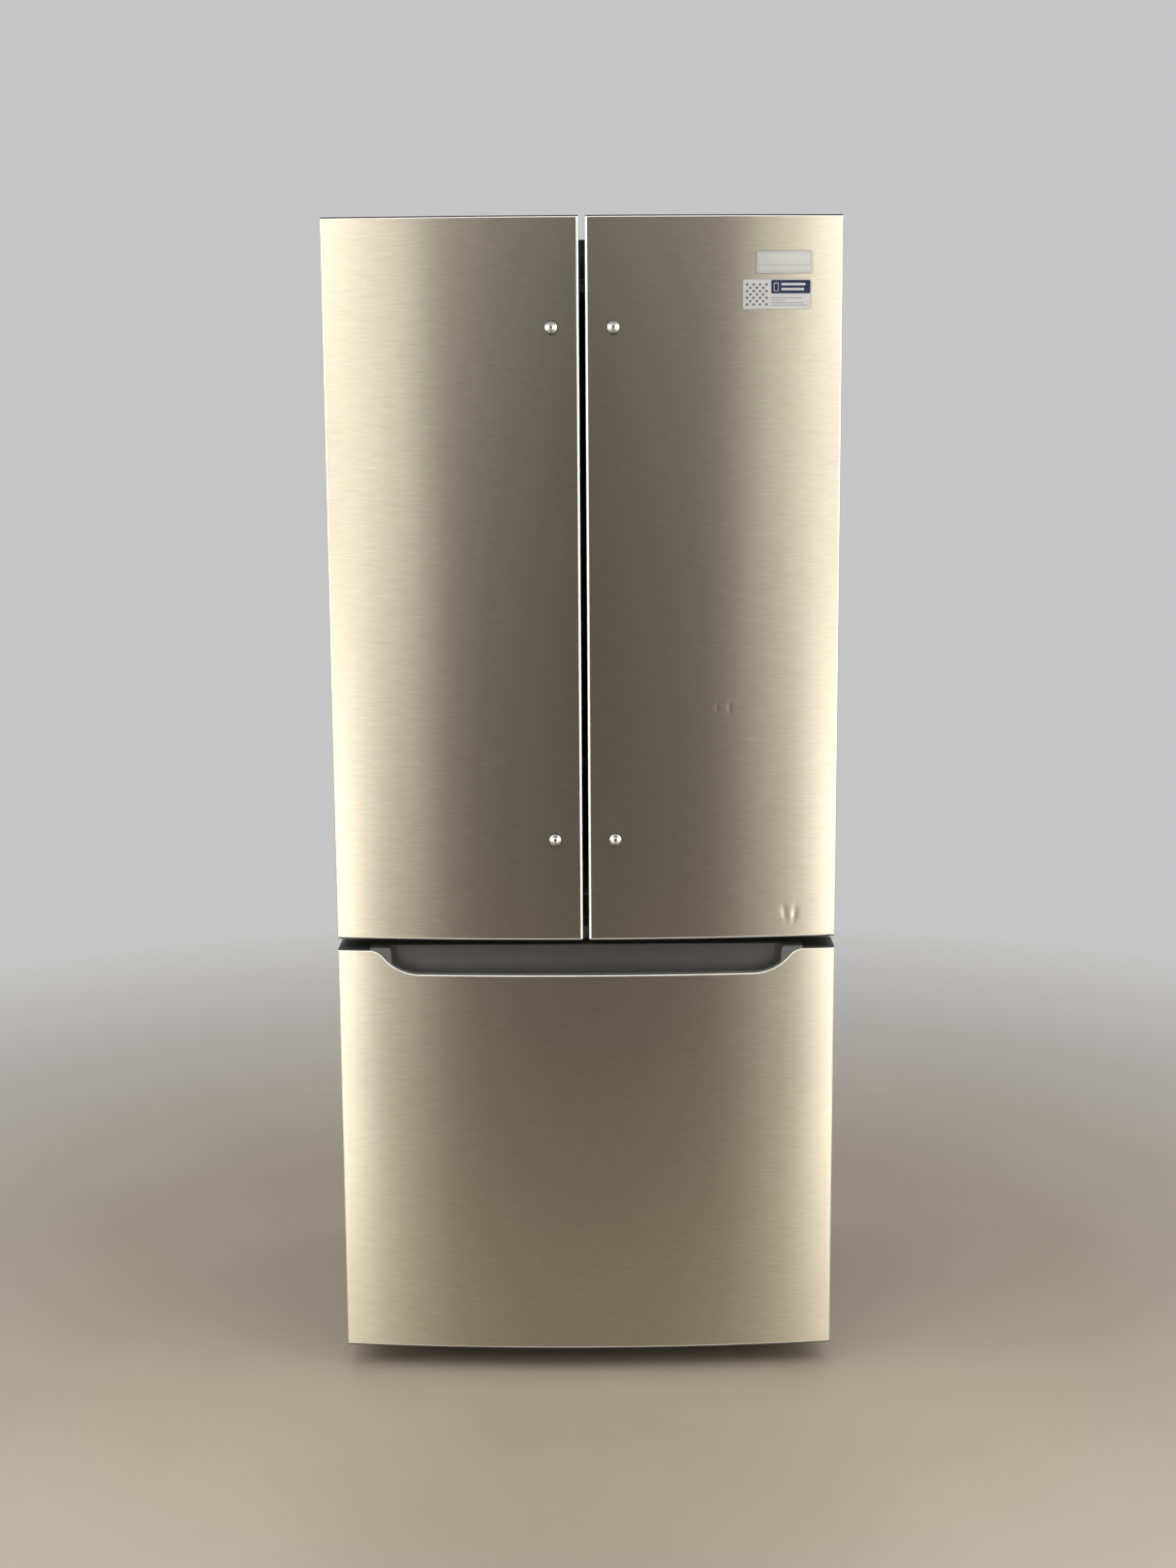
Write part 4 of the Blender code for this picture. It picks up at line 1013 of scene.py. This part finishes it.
def liners():
    """The two compartments with their shelf ledges and drawer rails."""
    wide = at("fresh_food_liner", 1, "X") - 0.0327
    low, deep = 0.785, 0.270
    compartment("fresh_food_compartment", "fresh_food_liner", ((-wide, wide), (low, 1.765)), deep,
                ((low, 0.0), (low, deep - 0.014)))
    ledges = []
    for side, _ in SIDES:
        for node in ("shelf_lower_left", "shelf_upper_left", "crisper_cover"):
            z = at(node, 0, "Z")
            span = sided(side, (wide - 0.006, wide + 0.001))
            ledges.append(slab("X", (-0.11, 0.22), (z - 0.012, z - 0.001), span, 0.003, 0.0015))
    piece("shelf_ledges", joined(*ledges), "liner", "cabinet")
    low, step = 0.110, 0.300
    compartment("freezer_compartment", "freezer_liner", ((-wide, wide), (low, 0.665)), 0.240,
                ((low, 0.0), (low, 0.060), (low + 0.004, 0.070), (low + 0.014, 0.075),
                 (step - 0.010, 0.075), (step - 0.003, 0.077), (step, 0.084), (step, 0.226)))
    rails = []
    for side, _ in SIDES:
        for inner, zs, ys, radius in ((0.3395, (0.208, 0.232), (-0.20, 0.06), 0.003),
                                      (0.3290, (0.405, 0.4175), (-0.20, 0.17), 0.004)):
            rails.append(slab("Y", sided(side, (inner, wide + 0.001)), zs, ys, radius, 0.002))
    piece("freezer_rails", joined(*rails), "liner", "cabinet")


def screw_head(centre, axis, radius=0.0042):
    """A hexagon washer head."""
    washer = turned([(0, 0), (radius, 0), (radius, 0.0006), (radius * 0.8, 0.0010), (0, 0.0010)],
                    centre, axis, 20)
    hexagon = turned([(0, 0.0008), (radius * 0.62, 0.0008), (radius * 0.62, 0.0024),
                      (radius * 0.52, 0.0028), (0, 0.0028)], centre, axis, 6)
    return joined(washer, hexagon)


def fasteners():
    """Screws of the back, the machine compartment cover and the top hinges."""
    back = at("cabinet_back_panel", 1, "Y") - 0.0151
    cover = at("machine_cover", 0, "Y") + 0.0020
    top_row = [(x, back, 1.808) for x in (-0.385, -0.19, 0.19, 0.385)]
    columns = [(x, back, z) for z in (0.32, 0.68, 1.05, 1.42) for x in (-0.388, 0.388)]
    round_cover = [(x, cover, z) for x in (-0.362, -0.12, 0.12, 0.362) for z in (0.046, 0.250)]
    for name, spots in (("back_screws", top_row + columns), ("machine_cover_screws", round_cover)):
        piece(name, joined(*[screw_head(spot, "Y") for spot in spots]), "zinc", "cabinet")
    bush = [(0.0048, 0), (0.0105, 0), (0.0110, 0.0015), (0.0100, 0.0045), (0.0080, 0.0070),
            (0.0062, 0.0086), (0.0048, 0.0086)]
    piece("cord_gland_bush", turned(bush, (0.315, cover, 0.080), "Y", 32), "gasket", "cabinet")
    pin = [(0, -0.004), (0.0052, -0.004), (0.0052, 0.0016), (0.0044, 0.0024), (0, 0.0024)]
    for side, word in SIDES:
        centre = (side * HINGE[0], HINGE[1], at(f"top_hinge_{word}", 1, "Z") + 0.0001)
        piece(f"top_hinge_pin_{word}", turned(pin, centre, "Z", 28), "zinc", "cabinet")


def hinge_cover(side, word):
    """Moulded cap over a top hinge, with a soft crown and a screw in it."""
    node = f"hinge_cover_{word}"
    xs, ys, (low, high) = spans(node)
    wall, soft = 0.003, 0.005
    screw = (side * 0.352, -0.205)
    crown = [(inset, high - away) for inset, away in rounding(soft, (25, 50, 70, 90))]
    shell = lofted("Z", xs, ys, 0.009, [(0, low), (0, high - soft)] + crown)
    hollow = box(shrunk(xs, wall), shrunk(ys, wall), (low - 0.01, high - 2 * wall))
    mouth = box(sided(side, (0.3755, 0.3985)), (ys[0] - 0.01, ys[0] + 0.012), (low - 0.01, low + 0.0055))
    well = turned([(0, -0.0025), (0.0055, -0.0025), (0.0055, 0.01), (0, 0.01)], (*screw, high), "Z", 28)
    piece(f"{node}_shell", carved(shell, hollow, mouth, well), "cap", "cabinet", (node,))
    piece(f"{node}_screw", screw_head((*screw, high - 0.0030), "Z", 0.0045), "zinc", "cabinet")


# ---- inside the fresh food compartment ----------------------------------------------------------
def framed_glass(name, node, rim, pane_z, divider=False):
    """Tempered glass held in a moulded rim."""
    xs, ys, (low, high) = spans(node)
    soft = 0.0022
    ring = [(0, low + soft), (soft, low), (rim - soft, low), (rim, low + soft),
            (rim, high - soft), (rim - soft, high), (soft, high), (0, high - soft)]
    parts = [lofted("Z", xs, ys, 0.010, ring, ring=True)]
    if divider:
        level = shrunk((low, high), 0.001)
        parts.append(slab("Z", (-0.008, 0.008), shrunk(ys, rim * 0.5), level, 0.003, 0.0015))
    piece(f"{name}_rim", joined(*parts), "liner", "cabinet", (node,))
    inner = rim - 0.0015
    piece(f"{name}_pane", slab("Z", shrunk(xs, inner), shrunk(ys, inner), pane_z, 0.004, 0.0008), "glass",
          "cabinet")


def shelving():
    """Glass shelves, the crispers' glass cover and its humidity sliders."""
    for level in ("upper", "lower"):
        for _, word in SIDES:
            node = f"shelf_{level}_{word}"
            z = at(node, 0, "Z")
            framed_glass(f"glass_{node}", node, 0.013, (z + 0.0075, z + 0.0115))
    z, front = at("crisper_cover", 0, "Z"), at("crisper_cover", 0, "Y")
    framed_glass("crisper_cover", "crisper_cover", 0.016, (z + 0.0165, z + 0.0200), divider=True)
    slots = [slab("Y", sided(side, (0.090, 0.185)), (z + 0.0065, z + 0.0155),
                  (front - 0.0003, front + 0.0012), 0.004, 0.0003) for side, _ in SIDES]
    piece("humidity_slots", joined(*slots), "cap", "cabinet")
    for _, word in SIDES:
        node = f"humidity_slider_{word}"
        xs, ys, zs = spans(node)
        knob = slab("Y", xs, zs, ys, 0.003, 0.0014)
        fin = slab("Y", shrunk(xs, 0.012), shrunk(zs, -0.001), (ys[0] - 0.003, ys[0] + 0.002), 0.001, 0.0006)
        piece(f"{node}_knob", joined(knob, fin), "cap", node, (node,))


def crispers():
    """Clear drawers with a moulded pull along the front."""
    for _, word in SIDES:
        node = f"crisper_{word}"
        xs, (face, back), zs = spans(node)
        front = face + 0.0095
        tub = open_box(xs, (front, back), zs, 0.003, 0.022, 0.006, 0.012)
        piece(f"{node}_tub", tub, "clear", node, (node,))
        pull = slab("Y", shrunk(xs, 0.080), (0.934, 0.951), (face, front + 0.002), 0.006, 0.002)
        facing = slab("Y", shrunk(xs, 0.004), (0.925, zs[1] + 0.0005), (front - 0.0016, front + 0.0006),
                      0.006, 0.0007)
        piece(f"{node}_pull", joined(pull, facing), "liner", node)


def air_duct():
    """Louvred cover of the air duct."""
    xs, (face, back), zs = spans("air_duct_cover")
    edge = [(0, back), (0.004, face + 0.005), (0.0065, face + 0.0012), (0.010, face)]
    body = lofted("Y", xs, zs, 0.016, edge)
    louvres = []
    for z in (1.10, 1.35, 1.60):
        for side, _ in SIDES:
            for row in range(3):
                base = z + 0.014 * row
                louvres.append(slab("Y", sided(side, (0.035, 0.085)), (base, base + 0.007),
                                    (face - 0.003, face + 0.007), 0.0033, 0.0004))
    piece("air_duct_panel", carved(body, joined(*louvres)), "liner", "cabinet", ("air_duct_cover",))


def ceiling_box():
    """The box on the ceiling, with its lens, its temperature dial and the mullion's guide."""
    _, ys, (_, high) = spans("control_box")
    z = 1.738
    case = rect_loft("Z", [((-0.170, 0.170), (-0.080, 0.130), 0.016, high),
                           ((-0.169, 0.169), (-0.074, 0.128), 0.016, z + 0.012),
                           ((-0.166, 0.166), (-0.066, 0.124), 0.015, z + 0.003),
                           ((-0.162, 0.162), (-0.061, 0.120), 0.012, z)])
    guide = joined(slab("Z", (-0.020, 0.020), (-0.210, -0.070), (1.757, high), 0.003, 0.001),
                   slab("Z", (-0.050, 0.050), (ys[0], -0.205), (1.748, high), 0.006, 0.002))
    piece("control_housing", joined(case, guide), "liner", "cabinet", ("control_box",))
    pitch, wide = 0.0102, 0.0088
    starts = [-0.075 + pitch * number for number in range(15)]
    bars = [slab("Z", (x, x + wide), (-0.002, 0.092), (z - 0.0016, z + 0.002), 0.003, 0.001)
            for x in starts]
    piece("light_lens", joined(*bars), "clear", "cabinet")
    knob = [(0, 0.002), (0.019, 0.002), (0.019, -0.0008), (0.0150, -0.0016), (0.0142, -0.0085),
            (0.0128, -0.0100), (0, -0.0100)]
    grip = slab("Z", (-0.0022, 0.0022), (-0.048, -0.022), (z - 0.0145, z - 0.006), 0.002, 0.0008)
    piece("temperature_dial", joined(turned(knob, (0, -0.035, z), "Z", 40), grip), "cap", "cabinet")


# ---- inside the doors ----------------------------------------------------------------------------
DIKE_X = (0.060, 0.332)
DIKE_Z = (0.800, 1.745)


def inner_panel(name, node, body, xs, zs, raised_x, raised_z, crest_y, wall):
    """White inner lining: rounded outer edge, flat gasket land, and a dike or raised plate."""
    land, corner, raised_corner = DOOR_BACK_Y, 0.004, 0.030
    rim = ((0, TRIM_Y + 0.0006), (0, land - 0.0020), (0.0006, land - 0.0006), (0.0020, land))
    rows = [(shrunk(xs, inset), shrunk(zs, inset), corner, y) for inset, y in rim]
    bend = min(0.006, (crest_y - land) * 0.4)
    slope = ((0.0015, crest_y - 0.003), (0.0024, crest_y - 0.0008), (0.0045, crest_y))
    foot = ((0, land + bend), (bend * 0.35, land + bend * 0.3))
    rise = [(-bend, land), (-foot[1][0], foot[1][1]), foot[0], *slope]
    if wall:
        rise += [(wall - 0.0045, crest_y), (wall - 0.0024, crest_y - 0.0008),
                 (wall - 0.0012, crest_y - 0.003)]
        rise += [(wall + inset, y) for inset, y in foot] + [(wall + bend, land + 0.0002)]
    for inset, y in rise:
        radius = max(corner, raised_corner - inset)
        rows.append((shrunk(raised_x, inset), shrunk(raised_z, inset), radius, y))
    piece(name, rect_loft("Y", rows), "liner", body, (node,))


def magnetic_gasket(name, node, body):
    """Bellows gasket: a base, two folds and the magnet strip, run round as one ring."""
    xs, (base, magnet), zs = spans(node)
    wide = 0.016
    section = ((0.0, 0.0), (0.0, 0.12), (0.16, 0.30), (0.16, 0.42), (0.0, 0.56), (0.0, 0.90), (0.10, 1.0),
               (0.90, 1.0), (1.0, 0.90), (1.0, 0.56), (0.84, 0.42), (0.84, 0.30), (1.0, 0.12), (1.0, 0.0))
    profile = [(wide * u, base + (magnet - base) * v) for u, v in section]
    piece(name, lofted("Y", xs, zs, 0.018, profile, ring=True), "gasket", body, (node,))


def door_bin(side, word, place):
    """Clear bin with a white band round its rim, hung between lugs on the dike."""
    body, node = f"{word}_door", f"{word}_bin_{place}"
    xs, ys, zs = spans(node)
    piece(f"{node}_tub", open_box(xs, ys, zs, 0.0025, 0.016, 0.003, 0.008), "clear", body, (node,))
    low, top = zs
    tall = 0.016
    ring = [(-0.0010, top - tall), (-0.0012, top - tall + 0.001), (-0.0012, top - 0.0005),
            (-0.0004, top + 0.0008), (0.0030, top + 0.0008), (0.0036, top - 0.0003), (0.0030, top - 0.002),
            (0.0004, top - 0.004), (0.0002, top - tall)]
    piece(f"{node}_band", lofted("Z", xs, ys, 0.016, ring, ring=True), "liner", body)
    lugs = [slab("Z", sided(side, (x, x + 0.0030)), (-0.252, -0.236), (low - 0.014, low - 0.0015),
                 0.001, 0.0006) for x in (DIKE_X[0] + 0.0125, DIKE_X[1] - 0.0155)]
    piece(f"{node}_lugs", joined(*lugs), "liner", body)


def door_inside(side, word):
    body = f"{word}_door"
    xs = sided(side, (GAP_X + SKIN_DEPTH, HALF_WIDTH - SKIN_DEPTH))
    zs = (DOOR_Z[0] + 0.0005, NOTCH["z"] - 0.0006)
    inner_panel(f"{word}_door_lining", f"{word}_door_panel", body, xs, zs, sided(side, DIKE_X), DIKE_Z,
                DOOR_BACK_Y + 0.045, 0.012)
    magnetic_gasket(f"{word}_door_seal", f"{word}_door_gasket", body)
    for place in ("bottom", "middle", "top"):
        door_bin(side, word, place)


def mullion_brackets():
    """Lugs and pins on the left door that carry the folding bar."""
    low, high = spans("mullion_bar")[2]
    x, y = -0.042, -0.241
    pin = [(0, 0), (0.0030, 0), (0.0030, 0.0110), (0, 0.0110)]
    lugs, pins = [], []
    for span, start in (((high + 0.0005, high + 0.0085), high - 0.0025),
                        ((low - 0.0085, low - 0.0005), low - 0.0085)):
        lugs.append(slab("Z", (-0.066, -0.034), (DOOR_BACK_Y - 0.0020, y + 0.008), span, 0.005, 0.0008))
        pins.append(turned(pin, (x, y, start), "Z", 20))
    piece("mullion_lugs", joined(*lugs), "liner", "left_door")
    piece("mullion_pins", joined(*pins), "zinc", "left_door")


# ---- freezer -------------------------------------------------------------------------------------
def freezer_inside():
    """Inside of the drawer's front, and the two baskets."""
    xs = (-HALF_WIDTH + SKIN_DEPTH, HALF_WIDTH - SKIN_DEPTH)
    zs = (DRAWER_Z[0] + 0.0005, DRAWER_Z[1] - 0.0125)
    raised_x, raised_z, crest_y = (-0.335, 0.335), (0.115, 0.660), -0.2522
    inner_panel("drawer_lining", "drawer_panel", "drawer", xs, zs, raised_x, raised_z, crest_y, 0)
    magnetic_gasket("drawer_seal", "drawer_gasket", "drawer")
    _, ys, zs = spans("lower_basket")
    tub = open_box((-0.3155, 0.3155), (-0.2380, 0.0470), zs, 0.003, 0.024, 0.004, 0.012)
    z = 0.2355
    flange = [(0, z + 0.001), (0.001, z), (0.0135, z), (0.0135, z + 0.004), (0.001, z + 0.004),
              (0, z + 0.003)]
    lip = lofted("Z", (-0.328, 0.328), ys, 0.028, flange, ring=True)
    piece("lower_basket_tub", joined(tub, lip), "clear", "drawer", ("lower_basket",))
    _, ys, (low, high) = spans("upper_basket")
    tub = open_box((-0.3275, 0.3275), ys, (low, high), 0.003, 0.024, 0.0, 0.010)
    runners = [slab("Y", sided(side, (0.3255, 0.3380)), (low, low + 0.004), shrunk(ys, 0.02), 0.0015, 0.001)
               for side, _ in SIDES]
    piece("upper_basket_tub", joined(tub, *runners), "clear", "upper_basket", ("upper_basket",))
    front = ys[0]
    grip = slab("Y", (-0.10, 0.10), (high - 0.022, high - 0.002), (front - 0.004, front + 0.001),
                0.006, 0.0015)
    piece("upper_basket_grip", grip, "liner", "upper_basket")


# ---- machine compartment and supports ------------------------------------------------------------
def fan(node, axis):
    """Moulded fan: domed hub and twisted blades."""
    low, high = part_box(node)
    along = "XYZ".index(axis.strip("-"))
    start = (low + high) / 2
    start[along] = low[along] if axis == "X" else high[along]
    radius = max(high[k] - low[k] for k in range(3) if k != along) / 2
    hub, deep, bore = radius * 0.33, 0.016, 0.0026
    dome = [(bore, 0), (hub, 0), (hub, deep * 0.8), (hub * 0.85, deep * 0.96), (hub * 0.4, deep),
            (bore, deep)]
    bodies = [turned(dome, start, axis, 36)]
    facing = {"X": lambda a, b, c: (c, a, b), "-Y": lambda a, b, c: (a, -c, b)}[axis]
    blades = 5
    for number in range(blades):
        rows = []
        for step in range(9):
            share = step / 8
            r = hub * 0.9 + (radius - hub * 0.9) * share
            half = math.radians(24 + 6 * math.sin(math.pi * share))
            row = []
            for across in (k / 3 - 1 for k in range(7)):
                turn = math.tau * number / blades + half * across + 0.25 * share
                height = deep * (0.5 + 0.40 * across * (1 - 0.25 * share))
                row.append(start + Vector(facing(r * math.cos(turn), r * math.sin(turn), height)))
            rows.append(row)
        blade = grid(rows)
        bmesh.ops.solidify(blade, geom=blade.faces[:], thickness=0.0013)
        bodies.append(blade)
    piece(f"{node}_wheel", joined(*bodies), "fan", node, (node,))


COMPRESSOR = (-0.225, 0.235)  # x and y of its axis


def compressor():
    """Welded can on its base plate, with rubber feet and a relay box."""
    x, y = COMPRESSOR
    can = [(0, 0.0505), (0.044, 0.052), (0.056, 0.060), (0.0625, 0.075), (0.064, 0.092), (0.064, 0.1120),
           (0.0660, 0.1130), (0.0660, 0.1160), (0.0632, 0.1170), (0.0625, 0.135), (0.058, 0.160),
           (0.047, 0.179), (0.028, 0.190), (0.0, 0.1935)]
    plate = slab("Z", (x - 0.075, x + 0.075), (y - 0.064, y + 0.064), (0.0480, 0.0530), 0.014, 0.001)
    relay = slab("X", (y - 0.030, y + 0.030), (0.085, 0.150), (x - 0.075, x - 0.055), 0.006, 0.003)
    whole = joined(turned(can, (x, y, 0), "Z", 56), plate, relay)
    piece("compressor_can", whole, "black", "cabinet", ("compressor",))
    foot = [(0, 0), (0.011, 0), (0.0115, 0.003), (0.0085, 0.008), (0.0105, 0.0152), (0, 0.0152)]
    feet = [turned(foot, (x + dx, y + dy, 0.0328), "Z", 24)
            for dx in (-0.062, 0.062) for dy in (-0.052, 0.052)]
    piece("compressor_feet", joined(*feet), "gasket", "cabinet")


def refrigerant_pipes():
    """Copper pipes from the compressor to the condenser, and up to the evaporator."""
    x, y = COMPRESSOR
    routes = (
        [(x + 0.050, y - 0.020, 0.160), (x + 0.075, y - 0.030, 0.185), (-0.080, 0.190, 0.190),
         (0.030, 0.165, 0.185), (0.085, 0.168, 0.175), (0.094, 0.176, 0.150)],
        [(x + 0.040, y + 0.030, 0.165), (x + 0.070, y + 0.050, 0.200), (-0.090, 0.290, 0.215),
         (-0.060, 0.300, 0.235), (-0.060, 0.300, 0.250)],
    )
    for number, route in enumerate(routes):
        curve = bpy.data.curves.new("pipe", "CURVE")
        curve.dimensions, curve.use_fill_caps, curve.resolution_u = "3D", True, 8
        curve.bevel_depth, curve.bevel_resolution = 0.0035, 3
        line = curve.splines.new("NURBS")
        line.points.add(len(route) - 1)
        for point, spot in zip(line.points, route):
            point.co = (*spot, 1)
        line.use_endpoint_u, line.order_u = True, 4
        curve.materials.append(LOOKS["copper"])
        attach(placed(f"refrigerant_pipe_{number}", curve), "cabinet")


def levelling_leg(node):
    """A moulded pad on a threaded stem."""
    low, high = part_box(node)
    centre = ((low.x + high.x) / 2, (low.y + high.y) / 2, 0)
    pad = [(0, 0), (0.0165, 0), (0.0182, 0.0008), (0.0190, 0.0025), (0.0190, 0.0085), (0.0178, 0.0105),
           (0.0100, 0.0125), (0.0080, 0.0130), (0, 0.0130)]
    piece(f"{node}_pad", turned(pad, centre, "Z"), "cap", node, (node,))
    stem, pitch, root = [(0, 0.0125)], 0.0015, 0.0043
    for turn in range(21):
        z = 0.0128 + turn * pitch
        stem += [(root, z), (0.0050, z + pitch / 2)]
    stem += [(root, high.z - 0.0002), (0, high.z)]
    piece(f"{node}_stem", turned(stem, centre, "Z", 32), "zinc", node)


def rear_roller(node):
    """A wheel with a grooved tread and a hub on each side."""
    low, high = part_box(node)
    half, r = (high.x - low.x) / 2, (high.z - low.z) / 2
    side = [(0.0045, half * 0.7), (0.0085, half * 0.7), (0.0090, half), (r - 0.003, half),
            (r - 0.0008, half - 0.0008), (r, half - 0.0025), (r, 0.001)]
    tread = [(radius, -across) for radius, across in side] + [(r - 0.0008, 0)] + side[::-1]
    piece(f"{node}_wheel", turned(tread, (low + high) / 2, "X", 56), "wheel", node, (node,))


def supports():
    for _, word in SIDES:
        levelling_leg(f"levelling_leg_{word}")
        rear_roller(f"rear_roller_{word}")


# ---- CAD nodes that stay -------------------------------------------------------------------------
KEPT = {
    "zinc": ("cabinet_back_panel", "base_pan", "top_hinge_left", "top_hinge_right", "drawer_frame",
             "machine_cover", "slide_left", "slide_right"),
    "foam": ("insulation",),
    "liner": ("evaporator_cover",),
    "cap": ("toe_grille",),
    "rail": ("center_hinge_rail",),
    "fins": ("condenser", "evaporator"),
    "trim": ("mullion_bar",),
}
SOFTENED = {
    "mullion_bar": 0.0012,
    "center_hinge_rail": 0.0007,
    "top_hinge_left": 0.0004,
    "top_hinge_right": 0.0004,
    "toe_grille": 0.0006,
}


def dress_kept_nodes():
    """Materials and softened edges for the CAD nodes that are shown as they are."""
    for look, names in KEPT.items():
        for name in names:
            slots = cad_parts[name].data.materials
            slots.clear()
            slots.append(LOOKS[look])
    for name, width in SOFTENED.items():
        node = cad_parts[name]
        node.modifiers.new("joined_corners", "WELD").merge_threshold = 0.00002
        soften(node, width, 40)


add_camera()
add_lights()
add_world()
add_floor()
LOOKS = make_looks()
for door in SIDES:
    door_front(*door)
badge()
label()
drawer_front()
wrapper()
liners()
fasteners()
for door in SIDES:
    hinge_cover(*door)
shelving()
crispers()
air_duct()
ceiling_box()
for door in SIDES:
    door_inside(*door)
mullion_brackets()
freezer_inside()
fan("condenser_fan", "X")
fan("evaporator_fan", "-Y")
compressor()
refrigerant_pipes()
supports()
dress_kept_nodes()
bpy.context.scene.view_settings.view_transform = "Standard"
